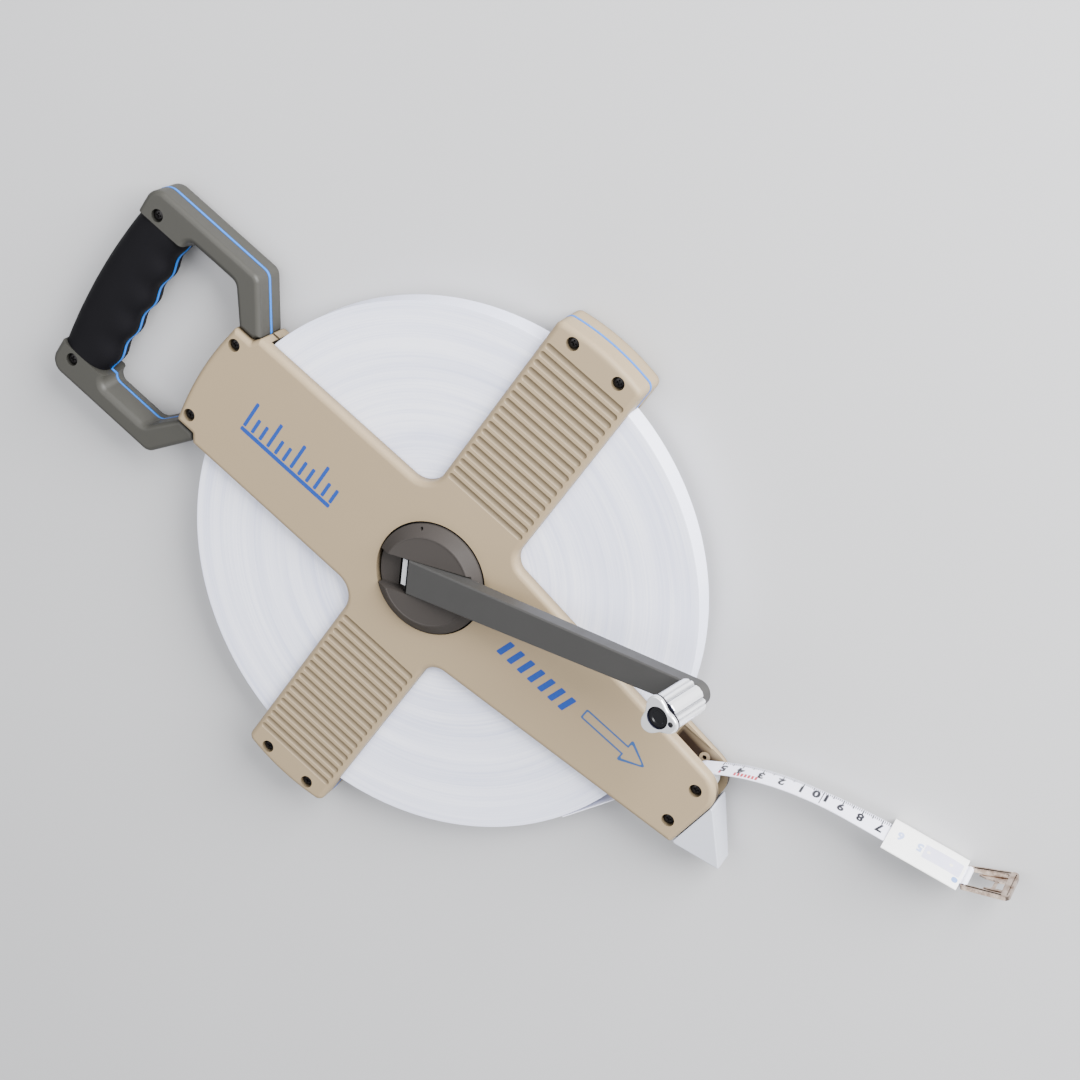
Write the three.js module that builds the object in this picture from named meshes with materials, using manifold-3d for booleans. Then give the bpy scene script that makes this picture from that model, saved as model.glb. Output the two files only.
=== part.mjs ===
// Open-reel surveyor's tape: a cross-shaped two-shell frame with a D handle, a tape roll that turns
// between the shells, a folding crank with a turning knob, a mouth with a guide roller, a ground spike,
// and the free end of the tape with its sleeve and end ring.
// Millimetres. The reel lies on its back: z = 0 is the flat rear face, +Z is the spin axis and points out
// of the front, the handle is at -X and the mouth at +X. The origin is on the spin axis.
import * as THREE from 'three';
import { mergeVertices } from 'three/addons/utils/BufferGeometryUtils.js';
import Module from 'manifold-3d';

const wasm = await Module();
wasm.setup();

// ---------- driving dimensions ----------
const FRAME_DEPTH = 26;                    // rear face to front face
const MID = FRAME_DEPTH / 2;               // plane of the seam and of the tape
const TAPE_WIDTH = 13;
const TAPE_THICK = 0.45;
const ROLL_RADIUS = 135.6;
const DRUM_RADIUS = 30;
const ROLL_GAP = 0.5;                      // roll face to shell
const PLATE = MID - TAPE_WIDTH / 2 - ROLL_GAP;   // depth of a shell where it crosses the roll
const ROLL_CLEAR = 1.6;                    // roll edge to the blocks at the arm ends
const EDGE_ROUND = 3;                      // rounding of the outer edges of the shells
const WALL = 2.4;
const SEAM = 1.6;                          // thickness of the blue inserts
const FIT = 0.1;                           // gap between flat faces that rest on each other

const SIDE_HALF = 25.5;                    // half width of the two ribbed arms
const LONG_HALF = 36;                      // half width of the handle arm
const MOUTH_TAPER = 0.112;                 // fall of the mouth arm's half width per millimetre
const RIBS = { count: 18, first: 51, pitch: 5, half: 23.4, radius: 1.7, depth: 1.4 };

const SCREW = { head: 2.9, room: 3.3, shank: 1.4, hole: 1.7, sink: 1.4, headHeight: 2, length: 17 };
const GRIP_SCREW = { sink: 1, length: 14 };
const FRAME_SCREWS = {
  upper_left: [-13.6, 144.9], upper_right: [13.6, 144.9],
  lower_left: [-13.6, -144.9], lower_right: [13.6, -144.9],
  handle_upper: [-145.5, 24], handle_lower: [-145.5, -24],
  mouth_upper: [162.2, 11.4], mouth_lower: [162.2, -11.4],
};

const HUB = { hole: 29.2, radius: 28.3, lip: 1, plateau: 22.5, height: 5.5, slotDepth: 2.4 };
const BEARING = { cap: 20, capDepth: 2.4, bush: 10, spindle: 8 };
// moulded boss with a blind hole, in the floor of the mouth
const MOUTH_BOSS = { x: 155.5, y: 16.3, radius: 2.6, hole: 1.1 };
const CRANK = {
  turn: 28.6, rise: 11.45,                 // direction in plan and slope, in degrees
  height: 7.7,                             // front face of the arm above the frame, on the spin axis
  length: 151.5, half0: 8.8, half1: 6.3, thick: 7.9,
  pinAt: -12.8, pinDeep: 3.6, start: -10,
};
const KNOB = {
  length: 27.6, cap: 2.2, groove: 0.8, bore: 5.3, axle: 5,
  lobe: 10.2, valley: 6.7, bodyLobe: 9.1, bodyValley: 7.3, firstLobe: 110,
  nub: { u: 6.9, v: -0.5, radius: 1.1, hole: 1.3 },
};

const HANDLE = {
  outerX: -223.5, innerX: -194, outerY: 60, innerY: 46.5, bendX: -154.2, innerBendX: -160.6,
  depth: 22, round: 3,
};
const GRIP = { end: 43.6, outer: -227, inner: -196.2, halfDepth: 10.9, pitch: 19, wave: 0.9, waveAt: 3.5 };
const ROLLER = { radius: 6.1, bore: 3.5 };

// ---------- colours ----------
const paint = (color, roughness, metalness = 0) =>
  new THREE.MeshStandardMaterial({ color, roughness, metalness });
const BEIGE = paint(0xbfb4a2, 0.5);
const GREY = paint(0x77776f, 0.5);
const DARK_GREY = paint(0x625d5a, 0.45);
const ARM_GREY = paint(0x636463, 0.45, 0.2);
const BLUE = paint(0x78b2eb, 0.45);
const RUBBER = paint(0x1f1e22, 0.7);
const CHROME = paint(0xdfe2e6, 0.15, 1);
const BLACK = paint(0x111113, 0.4);
const STEEL = paint(0x3a3a3c, 0.4, 0.9);
const WHITE = paint(0xe6e8f0, 0.5);
const ALUMINIUM = paint(0xd0d2d6, 0.4, 0.8);
const CLEAR = paint(0xf2f4f3, 0.3);
const BRONZE = paint(0xb3a08c, 0.3, 1);

// ---------- helpers ----------
function solid(geometry) {
  const g = geometry.clone();
  g.deleteAttribute('normal');
  g.deleteAttribute('uv');
  const merged = mergeVertices(g, 1e-4);
  return new wasm.Manifold(new wasm.Mesh({
    numProp: 3,
    vertProperties: new Float32Array(merged.attributes.position.array),
    triVerts: new Uint32Array(merged.index.array),
  }));
}

function geometryOf(manifold) {
  const mesh = manifold.getMesh();
  const g = new THREE.BufferGeometry();
  g.setAttribute('position', new THREE.BufferAttribute(new Float32Array(mesh.vertProperties), 3));
  g.setIndex(new THREE.BufferAttribute(new Uint32Array(mesh.triVerts), 1));
  g.computeVertexNormals();
  return g;
}

const sum = (...parts) => parts.reduce((a, b) => a.add(b));
const cut = (body, ...tools) => tools.reduce((a, b) => a.subtract(b), body);

function box(x0, x1, y0, y1, z0, z1) {
  const g = new THREE.BoxGeometry(x1 - x0, y1 - y0, z1 - z0);
  return solid(g.translate((x0 + x1) / 2, (y0 + y1) / 2, (z0 + z1) / 2));
}

function post(x, y, radius, z0, z1, sides = 24) {
  const g = new THREE.CylinderGeometry(radius, radius, z1 - z0, sides);
  return solid(g.rotateX(Math.PI / 2).translate(x, y, (z0 + z1) / 2));
}

// Corners [x, y, radius] in counter-clockwise order, moved inwards by inset, as a row of points with
// the corners rounded.
function outline(corners, inset = 0) {
  const n = corners.length;
  const sides = corners.map((c, i) => {
    const d = corners[(i + 1) % n];
    const along = new THREE.Vector2(d[0] - c[0], d[1] - c[1]).normalize();
    const inward = new THREE.Vector2(-along.y, along.x);
    return { along, at: new THREE.Vector2(c[0], c[1]).addScaledVector(inward, inset) };
  });
  return corners.flatMap((c, i) => {
    const a = sides[(i + n - 1) % n];
    const b = sides[i];
    const turn = a.along.cross(b.along);
    const reach = b.at.clone().sub(a.at).cross(b.along) / turn;
    const corner = a.at.clone().addScaledVector(a.along, reach);
    if (!c[2]) return [corner];
    const side = Math.sign(turn);
    const radius = Math.max(c[2] - side * inset, 0.05);
    const bend = Math.atan2(turn, a.along.dot(b.along));
    const steps = Math.max(1, Math.ceil(Math.abs(bend) / (c[2] > 60 ? 0.045 : 0.3)));
    const start = corner.clone().addScaledVector(a.along, -radius * Math.tan(Math.abs(bend) / 2));
    const centre = start.clone().addScaledVector(new THREE.Vector2(-a.along.y, a.along.x), side * radius);
    const step = bend / steps;
    return Array.from({ length: steps + 1 }, (_, k) => start.clone().rotateAround(centre, step * k));
  });
}

// A closed skin over a row of loops with the same number of points. The end loops are filled as seen in
// plan, or as fans when they are convex and stand upright.
function loft(loops, inPlan = false) {
  const m = loops[0].length;
  const index = [];
  for (let k = 0; k + 1 < loops.length; k++) {
    for (let j = 0; j < m; j++) {
      const a = k * m + j;
      const b = k * m + (j + 1) % m;
      index.push(a, b, b + m, a, b + m, a + m);
    }
  }
  const fan = () => Array.from({ length: m - 2 }, (_, j) => [0, j + 1, j + 2]);
  const fill = (loop) => inPlan
    ? THREE.ShapeUtils.triangulateShape(loop.map(([x, y]) => new THREE.Vector2(x, y)), [])
    : fan();
  const last = (loops.length - 1) * m;
  for (const [a, b, c] of fill(loops[0])) index.push(a, c, b);
  for (const [a, b, c] of fill(loops.at(-1))) index.push(last + a, last + b, last + c);
  const g = new THREE.BufferGeometry();
  g.setAttribute('position', new THREE.BufferAttribute(new Float32Array(loops.flat(2)), 3));
  g.setIndex(index);
  g.computeVertexNormals();
  return g;
}

// A plate from z0 to z1 in the given outline, its upper edge rounded.
function plate(corners, z0, z1, inset = 0, round = 0) {
  const STEPS = 3;
  const levels = [[z0, 0], [z1 - round, 0]];
  for (let k = 1; round && k <= STEPS; k++) {
    const t = Math.PI / 2 * k / STEPS;
    levels.push([z1 - round + round * Math.sin(t), round * (1 - Math.cos(t))]);
  }
  return solid(loft(levels.map(([z, inward]) =>
    outline(corners, inset + inward).map((p) => [p.x, p.y, z])), true));
}

function mirrored(geometry) {
  const g = geometry.clone().scale(1, 1, -1).translate(0, 0, FRAME_DEPTH);
  const index = g.index.array;
  for (let i = 0; i < index.length; i += 3) [index[i], index[i + 1]] = [index[i + 1], index[i]];
  g.computeVertexNormals();
  return g;
}

function lathe(profile, sides = 48) {
  const points = profile.map(([r, z]) => new THREE.Vector2(r, z));
  return new THREE.LatheGeometry(points, sides).rotateX(Math.PI / 2);
}

const reel = new THREE.Group();

function add(name, shape, material, parent = reel) {
  const geometry = shape.isBufferGeometry ? shape : geometryOf(shape);
  const mesh = new THREE.Mesh(geometry, material);
  mesh.name = name;
  parent.add(mesh);
  return mesh;
}

// ---------- frame ----------
const TIP_X = 174;
const mouthHalf = (x) => LONG_HALF - MOUTH_TAPER * (x - LONG_HALF);
const CROSS = [
  [170.2, -mouthHalf(170.2), 2],
  [TIP_X, mouthHalf(TIP_X), 13.5],
  [SIDE_HALF, mouthHalf(SIDE_HALF), 9],
  [SIDE_HALF, 149.3, 4], [0, 153.5, 120], [-SIDE_HALF, 149.3, 4],
  [-SIDE_HALF, LONG_HALF, 12],
  [-136.5, LONG_HALF, 1.5], [-139.5, 31.6, 0.5], [-150.2, 31.6, 2],
  [-155, 0, 150],
  [-150.2, -31.6, 2], [-139.5, -31.6, 0.5], [-136.5, -LONG_HALF, 1.5],
  [-SIDE_HALF, -LONG_HALF, 12],
  [-SIDE_HALF, -149.3, 4], [0, -153.5, 120], [SIDE_HALF, -149.3, 4],
  [SIDE_HALF, -mouthHalf(SIDE_HALF), 9],
];
const PLATE_Z = FRAME_DEPTH - PLATE;       // inner edge of the front shell over the roll
const SEAM_Z = MID + SEAM / 2 + FIT;       // inner edge of the front shell at the arm ends
const MOUTH_X = ROLL_RADIUS + ROLL_CLEAR - 4;
const TONGUE = { x0: -150, x1: -139, y0: 16, y1: 31, half: 6.2 };

// Rods across the ribbed arms that cut the grooves between the ribs.
function ribGrooves() {
  const rods = [];
  for (const s of [-1, 1]) {
    for (let k = 0; k < RIBS.count; k++) {
      const y = s * (RIBS.first + k * RIBS.pitch);
      const rod = new THREE.CylinderGeometry(RIBS.radius, RIBS.radius, 2 * RIBS.half, 8);
      rod.rotateY(Math.PI / 8).rotateZ(Math.PI / 2);
      rods.push(solid(rod.translate(0, y, FRAME_DEPTH + RIBS.radius - RIBS.depth)));
    }
  }
  return rods;
}

// One shell, built as the front one. The rear shell is the same, mirrored, with its own holes.
function shell(isFront) {
  const around = post(0, 0, ROLL_RADIUS + ROLL_CLEAR, 0, PLATE_Z, 96);
  const mouthRoom = box(MOUTH_X, 190, -45, 45, 0, PLATE_Z);
  let body = cut(plate(CROSS, SEAM_Z, FRAME_DEPTH, 0, EDGE_ROUND), around, mouthRoom);

  const hollow = plate(CROSS, PLATE_Z - 1, FRAME_DEPTH - WALL, WALL);
  const keep = sum(
    post(0, 0, HUB.hole + WALL, 0, 30, 48),
    box(-60, 60, 136, 170, 0, 30), box(-60, 60, -170, -136, 0, 30), box(-170, -136, -60, 60, 0, 30),
  );
  body = cut(body, cut(hollow, keep));

  // lower wall of the mouth, and the posts that the mouth screws pass through
  const wallBand = cut(plate(CROSS, SEAM_Z, PLATE_Z + 1), plate(CROSS, 0, 60, WALL));
  const wallReach = box(146, 168, -40, -10, 0, 60);
  body = sum(body, wallBand.intersect(wallReach));
  const [ux, uy] = FRAME_SCREWS.mouth_upper;
  const [lx, ly] = FRAME_SCREWS.mouth_lower;
  body = sum(body,
    post(ux, uy, 3.2, SEAM_Z, FRAME_DEPTH - 1),
    post(ux, uy, 5, PLATE_Z - 0.2, FRAME_DEPTH - 1),
    post(lx, ly, 4.6, PLATE_Z - 1.6, FRAME_DEPTH - 1));

  // pockets for the handle's tongues
  for (const s of [-1, 1]) {
    const near = s > 0 ? [TONGUE.y0 - 0.3, 40] : [-40, -TONGUE.y0 + 0.3];
    body = cut(body, box(TONGUE.x0 - 0.3, TONGUE.x1 + 0.3, ...near, 0, MID + TONGUE.half + 0.3));
  }

  body = cut(body, ...ribGrooves());
  if (isFront) {
    for (const [x, y] of Object.values(FRAME_SCREWS)) {
      body = cut(body, post(x, y, SCREW.room, FRAME_DEPTH - SCREW.sink - SCREW.headHeight, 30, 20));
      body = cut(body, post(x, y, SCREW.hole, 0, 30, 16));
    }
    return geometryOf(cut(body, post(0, 0, HUB.hole, 0, 30, 72)));
  }

  for (const [x, y] of Object.values(FRAME_SCREWS)) {
    body = cut(body, post(x, y, SCREW.hole, 0, FRAME_DEPTH - 2.5, 16));
  }
  body = sum(body, post(0, 0, 26, PLATE_Z, FRAME_DEPTH - 1, 48));
  body = cut(body, post(0, 0, BEARING.cap + 0.2, FRAME_DEPTH - BEARING.capDepth - 0.1, 30, 48));
  body = cut(body, post(0, 0, BEARING.bush, 0, 30, 36));
  const boss = MOUTH_BOSS;
  body = sum(body, post(boss.x, boss.y, boss.radius, PLATE_Z - 0.3, FRAME_DEPTH - 1, 20));
  body = cut(body, post(boss.x, boss.y, boss.hole, 0, PLATE_Z + 4, 12));
  return geometryOf(body);
}

add('front_frame', shell(true), BEIGE);
add('rear_frame', mirrored(shell(false)), BEIGE);

// blue inserts in the seam of the two ribbed arms
for (const [name, s] of [['seam_insert_upper', 1], ['seam_insert_lower', -1]]) {
  let body = plate(CROSS, MID - SEAM / 2, MID + SEAM / 2, -0.15);
  body = cut(body, post(0, 0, ROLL_RADIUS + ROLL_CLEAR + 0.4, 0, 30, 96));
  body = body.intersect(s > 0 ? box(-60, 60, 120, 170, 0, 30) : box(-60, 60, -170, -120, 0, 30));
  for (const [x, y] of Object.values(FRAME_SCREWS)) body = cut(body, post(x, y, SCREW.hole, 0, 30, 16));
  add(name, body, BLUE);
}

// ---------- screws ----------
function screw(length) {
  return lathe([
    [0, 0], [SCREW.shank, 0.8], [SCREW.shank, length - SCREW.headHeight],
    [SCREW.head, length - SCREW.headHeight], [SCREW.head, length - 0.3], [SCREW.head - 0.5, length],
    [0, length],
  ], 16);
}
for (const [place, [x, y]] of Object.entries(FRAME_SCREWS)) {
  const tip = FRAME_DEPTH - SCREW.sink - SCREW.length + 0.05;
  add(`screw_${place}`, screw(SCREW.length), STEEL).position.set(x, y, tip);
}

// ---------- handle ----------
const H = HANDLE;
const D_OUTER = [
  [-137, 35.2, 0.8], [H.bendX, H.outerY, 6], [H.outerX, H.outerY, 8],
  [H.outerX, -H.outerY, 8], [H.bendX, -H.outerY, 6], [-137, -35.2, 0.8],
  [-140, -31.95, 0], [-149.4, -31.95, 0], [H.innerBendX, -H.innerY, 6],
  [H.innerX, -H.innerY, 5], [H.innerX, H.innerY, 5], [H.innerBendX, H.innerY, 6],
  [-149.4, 31.95, 0], [-140, 31.95, 0],
];
const HANDLE_LOW = MID - H.depth / 2;
const HANDLE_TOP = MID + H.depth / 2;
const CORE = { x0: -219, x1: -203, half: 7.6 };
const HANDLE_SCREWS = { upper: [-213.4, 48.4], lower: [-213.4, -48.4] };

function handleHalf(isFront) {
  const room = box(-240, -190, -GRIP.end, GRIP.end, 0, 40);
  let body = cut(plate(D_OUTER, SEAM_Z, HANDLE_TOP, 0, H.round), room);
  body = sum(body, box(CORE.x0, CORE.x1, -GRIP.end - 1, GRIP.end + 1, SEAM_Z, MID + CORE.half));
  for (const s of [-1, 1]) {
    const [y0, y1] = s > 0 ? [TONGUE.y0, TONGUE.y1 + 1.5] : [-TONGUE.y1 - 1.5, -TONGUE.y0];
    body = sum(body, box(TONGUE.x0, TONGUE.x1, y0, y1, SEAM_Z, MID + TONGUE.half));
    body = cut(body, post(-145.5, s * 24, SCREW.hole, 0, 40, 16));
  }
  for (const [x, y] of Object.values(HANDLE_SCREWS)) {
    const seat = HANDLE_TOP - GRIP_SCREW.sink - SCREW.headHeight - 0.05;
    if (isFront) body = cut(body, post(x, y, SCREW.room, seat, 40, 20));
    body = cut(body, post(x, y, SCREW.hole, 0, isFront ? 40 : HANDLE_TOP - 2.5, 16));
  }
  return geometryOf(body);
}
add('handle_front', handleHalf(true), GREY);
add('handle_rear', mirrored(handleHalf(false)), GREY);

const gripWave = (y) => GRIP.inner + GRIP.wave * Math.cos(2 * Math.PI * (y - GRIP.waveAt) / GRIP.pitch);
const gripOuter = (y) => GRIP.outer + 3.2 * (y / 44) ** 2;

{
  let body = plate(D_OUTER, MID - SEAM / 2, MID + SEAM / 2, -0.15);
  const outside = [];
  const STEPS = 36;
  for (let k = 0; k <= STEPS; k++) {
    const y = -GRIP.end + 2 * GRIP.end * k / STEPS;
    outside.push([gripWave(y) + 0.3, y]);
  }
  for (let k = STEPS; k >= 0; k -= 3) {
    const y = -GRIP.end + 2 * GRIP.end * k / STEPS;
    outside.push([gripOuter(y) + 0.3, y]);
  }
  const ends = [MID - SEAM / 2, MID + SEAM / 2];
  const bar = solid(loft(ends.map((z) => outside.map(([x, y]) => [x, y, z])), true));
  body = sum(cut(body, box(-240, -190, -GRIP.end, GRIP.end, 0, 40)), bar);
  body = cut(body, box(-170, -130, -31.8, 31.8, 0, 40));
  for (const [x, y] of Object.values(HANDLE_SCREWS)) body = cut(body, post(x, y, SCREW.hole, 0, 40, 16));
  add('handle_seam_insert', body, BLUE);
}
for (const [place, [x, y]] of Object.entries(HANDLE_SCREWS)) {
  const tip = HANDLE_TOP - GRIP_SCREW.sink - GRIP_SCREW.length;
  add(`screw_grip_${place}`, screw(GRIP_SCREW.length), STEEL).position.set(x, y, tip);
}

// black rubber grip: a flattened oval that swells outwards and has finger waves on its inner side
function gripHalf() {
  const loops = [];
  const ALONG = 28;
  const AROUND = 10;
  for (let k = 0; k <= ALONG; k++) {
    const y = (GRIP.end - 0.1) * (2 * k / ALONG - 1);
    const x0 = gripOuter(y);
    const x1 = gripWave(y);
    const loop = [];
    for (let j = 0; j <= AROUND; j++) {
      const t = Math.PI * j / AROUND;
      const side = Math.sign(Math.cos(t)) * Math.abs(Math.cos(t)) ** 0.75;
      const x = (x0 + x1) / 2 - (x1 - x0) / 2 * side;
      loop.push([x, y, SEAM_Z + (GRIP.halfDepth - SEAM_Z + MID) * Math.sin(t) ** 0.75]);
    }
    loops.push(loop);
  }
  const core = box(CORE.x0 - 0.15, CORE.x1 + 0.15, -60, 60, 0, MID + CORE.half + 0.15);
  return geometryOf(cut(solid(loft(loops)), core));
}
add('grip_front', gripHalf(), RUBBER);
add('grip_rear', mirrored(gripHalf()), RUBBER);

// ---------- ground spike ----------
{
  const root = [[170.8, -20.8], [172.4, -21.2], [196.2, -16.6], [174.7, 7.6], [173.4, 8]];
  const at = (x, inner, tip) => inner + (tip - inner) * Math.min(Math.max((x - 174) / 22, 0), 1);
  const bottom = root.map(([x, y]) => [x, y, at(x, 3, 5.4)]);
  const top = root.map(([x, y]) => [x, y, at(x, 23, 20.8)]);
  let body = solid(loft([bottom, top]));
  body = sum(body, box(154, 172, -18, -4, MID - 4.6, MID + 4.6));
  body = cut(body, post(162.2, -11.4, 4.9, 0, 30));
  add('ground_spike', body, ALUMINIUM);
}

// ---------- reel: drum, spindle, hub and tape roll ----------
add('rear_bearing_cap', lathe([
  [0, 0], [BEARING.cap - 1, 0], [BEARING.cap, 0.6], [BEARING.cap, BEARING.capDepth], [0, BEARING.capDepth],
], 48), DARK_GREY);
add('rear_bush', lathe([
  [BEARING.spindle + 0.2, 2.7], [BEARING.bush - 0.2, 2.7], [BEARING.bush - 0.2, 6.2],
  [BEARING.spindle + 0.2, 6.2], [BEARING.spindle + 0.2, 2.7],
], 36), BLACK);
add('spindle', lathe([
  [0, 2.9], [BEARING.spindle, 2.9], [BEARING.spindle, 19.9], [0, 19.9],
], 36), STEEL);
add('drum', lathe([
  [BEARING.spindle + 0.2, 6.9], [14, 6.9], [14, 10], [DRUM_RADIUS - 3, 10], [DRUM_RADIUS - 3, 6.9],
  [DRUM_RADIUS, 6.9], [DRUM_RADIUS, 19.2], [DRUM_RADIUS - 3, 19.2], [DRUM_RADIUS - 3, 16],
  [14, 16], [14, 19.2], [BEARING.spindle + 0.2, 19.2], [BEARING.spindle + 0.2, 6.9],
], 36), BLACK);
add('tape_roll', lathe([
  [DRUM_RADIUS + 0.2, MID - TAPE_WIDTH / 2], [ROLL_RADIUS, MID - TAPE_WIDTH / 2],
  [ROLL_RADIUS, MID + TAPE_WIDTH / 2], [DRUM_RADIUS + 0.2, MID + TAPE_WIDTH / 2],
  [DRUM_RADIUS + 0.2, MID - TAPE_WIDTH / 2],
], 96), WHITE);

// ---------- crank ----------
// The crank's own frame: +X along the arm, +Z out of its front face, its origin on the spin axis.
const crank = new THREE.Group();
crank.position.set(0, 0, FRAME_DEPTH + CRANK.height);
crank.rotation.set(0, -THREE.MathUtils.degToRad(CRANK.rise), THREE.MathUtils.degToRad(CRANK.turn), 'ZYX');
crank.updateMatrix();
reel.add(crank);
const inReel = (geometry) => solid(geometry.applyMatrix4(crank.matrix));

function crankBox(x0, x1, y0, y1, z0, z1) {
  const g = new THREE.BoxGeometry(x1 - x0, y1 - y0, z1 - z0);
  return inReel(g.translate((x0 + x1) / 2, (y0 + y1) / 2, (z0 + z1) / 2));
}

// A rod on the hinge axis of the crank.
function hingeRod(radius, half, sides = 24) {
  const g = new THREE.CylinderGeometry(radius, radius, 2 * half, sides);
  return g.translate(CRANK.pinAt, 0, -CRANK.pinDeep);
}

{
  const base = FRAME_DEPTH;
  let body = solid(lathe([
    [0, 20.1], [HUB.radius - 0.4, 20.1], [HUB.radius - 0.4, base - 0.6], [HUB.radius, base + 0.3],
    [HUB.radius, base + HUB.lip], [HUB.plateau, base + HUB.height], [0, base + HUB.height],
  ], 72));
  const slotHalf = CRANK.half0 + 0.35;
  const pocket = new THREE.BoxGeometry(6.6, 2 * slotHalf, 14).translate(-14.1, 0, 0);
  const plan = new THREE.Matrix4().makeRotationZ(THREE.MathUtils.degToRad(CRANK.turn));
  const slot = new THREE.BoxGeometry(60, 2 * slotHalf, 12).translate(-44, 0, 0);
  body = cut(body,
    solid(slot.translate(0, 0, base - HUB.slotDepth + 6).applyMatrix4(plan)),
    solid(pocket.translate(0, 0, base + 2.6).applyMatrix4(plan)),
    crankBox(-16, 60, -slotHalf, slotHalf, -CRANK.thick - 0.4, 30),
    inReel(hingeRod(1.4, 13, 16)));
  add('crank_hub', body, DARK_GREY);
}

function armShape() {
  const c = CRANK;
  const slope = (c.half1 - c.half0) / c.length;
  const half = (x) => c.half0 + slope * x;
  const shape = new THREE.Shape();
  shape.moveTo(c.start, -half(c.start));
  shape.lineTo(c.length, -half(c.length));
  for (let k = 1; k < 12; k++) {
    const t = -Math.PI / 2 + Math.PI * k / 12;
    shape.lineTo(c.length + half(c.length) * Math.cos(t), half(c.length) * Math.sin(t));
  }
  shape.lineTo(c.length, half(c.length));
  shape.lineTo(c.start, half(c.start));
  shape.closePath();
  return shape;
}
{
  const c = CRANK;
  const bar = new THREE.ExtrudeGeometry(armShape(), {
    depth: c.thick - 1.2, bevelEnabled: true, bevelThickness: 0.6, bevelSize: 0.6, bevelOffset: -0.6,
    bevelSegments: 1,
  }).translate(0, 0, -c.thick + 0.6);
  const slit = new THREE.BoxGeometry(9, 10.6, 2.6).translate(c.start + 4.4, 0, -c.pinDeep);
  const hole = new THREE.CylinderGeometry(2.7, 2.7, 20, 20).rotateX(Math.PI / 2).translate(c.length, 0, 0);
  add('crank_arm', cut(solid(bar), solid(slit), solid(hole)), ARM_GREY, crank);

  const knuckle = hingeRod(2.6, 6);
  const tongue = new THREE.BoxGeometry(10, 10, 2).translate(c.pinAt + 5.8, 0, -c.pinDeep);
  add('hinge_knuckle', cut(sum(solid(knuckle), solid(tongue)), solid(hingeRod(1.45, 20))), CHROME, crank);
  add('hinge_pin', hingeRod(1.15, 11.8, 16), STEEL, crank);
}

// ---------- knob ----------
// A three-lobed outline round the knob's axis.
function lobeLoop(lobe, valley, z) {
  const loop = [];
  const AROUND = 36;
  for (let k = 0; k < AROUND; k++) {
    const t = 2 * Math.PI * k / AROUND;
    const share = 0.5 + 0.5 * Math.cos(3 * (t - THREE.MathUtils.degToRad(KNOB.firstLobe)));
    const r = valley + (lobe - valley) * share;
    loop.push([CRANK.length + r * Math.cos(t), r * Math.sin(t), z]);
  }
  return loop;
}
{
  const { length, groove, nub } = KNOB;
  const bodyTop = length - KNOB.cap - groove;
  const rod = (r, height, z) => new THREE.CylinderGeometry(r, r, height, 24)
    .rotateX(Math.PI / 2).translate(CRANK.length, 0, z);
  const bore = solid(rod(KNOB.bore, 60, 0));
  const atBody = (scale, z) => lobeLoop(KNOB.bodyLobe * scale, KNOB.bodyValley * scale, z);
  const atCap = (inward, z) => lobeLoop(KNOB.lobe - inward, KNOB.valley - inward, z);

  const body = solid(loft([
    atBody(0.94, 0.4), atBody(1, 0.9), atBody(1, bodyTop - 0.5), atBody(0.94, bodyTop),
  ]));
  add('knob_body', cut(body, bore), CHROME, crank);
  const cap = solid(loft([
    atCap(0.7, bodyTop + groove), atCap(0.1, bodyTop + groove + 0.5),
    atCap(0, length - 0.9), atCap(0.3, length - 0.3), atCap(0.9, length),
  ]));
  const nubHole = solid(rod(nub.hole, 3, length).translate(nub.u, nub.v, 0));
  add('knob_end_cap', cut(cap, bore, nubHole), CHROME, crank);
  add('knob_nub', rod(nub.radius, 1.5, length - 0.5).translate(nub.u, nub.v, 0), BLACK, crank);
  add('knob_axle', lathe([
    [0, -CRANK.thick + 0.8], [2.4, -CRANK.thick + 0.8], [2.4, 0.3], [KNOB.axle, 0.3],
    [KNOB.axle, length - 1.3], [KNOB.axle - 0.5, length - 0.8], [0, length - 0.8],
  ], 24).translate(CRANK.length, 0, 0), BLACK, crank);
}

// ---------- mouth: guide roller ----------
{
  const [x, y] = FRAME_SCREWS.mouth_upper;
  add('guide_roller', lathe([
    [ROLLER.bore, MID - 6.3], [ROLLER.radius - 0.6, MID - 6.3], [ROLLER.radius, MID - 5.7],
    [ROLLER.radius, MID + 5.7], [ROLLER.radius - 0.6, MID + 6.3], [ROLLER.bore, MID + 6.3],
    [ROLLER.bore, MID - 6.3],
  ], 32).translate(x, y, 0), WHITE);
}

// ---------- tape outside the roll ----------
// A flat strip that follows points [x, y, z, twist in degrees]; the twist turns it about its own run.
function strip(points, width, thick, start = 0, end = 0) {
  const at = points.map(([x, y, z]) => new THREE.Vector3(x, y, z));
  const loops = at.map((p, i) => {
    const before = at[Math.max(i - 1, 0)];
    const after = at[Math.min(i + 1, at.length - 1)];
    const run = after.clone().sub(before).normalize();
    const centre = p.clone();
    if (i === 0) centre.addScaledVector(run, start);
    if (i === at.length - 1) centre.addScaledVector(run, -end);
    const lean = THREE.MathUtils.degToRad(points[i][3]);
    const up = new THREE.Vector3(0, 0, 1).addScaledVector(run, -run.z).normalize();
    const side = new THREE.Vector3().crossVectors(up, run);
    const wide = up.clone().multiplyScalar(Math.cos(lean)).addScaledVector(side, -Math.sin(lean));
    const thin = new THREE.Vector3().crossVectors(wide, run);
    return [[1, 1], [-1, 1], [-1, -1], [1, -1]].map(([a, b]) =>
      centre.clone().addScaledVector(wide, a * width / 2).addScaledVector(thin, b * thick / 2).toArray());
  });
  return loft(loops.map((loop) => loop.slice().reverse()));
}
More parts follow.
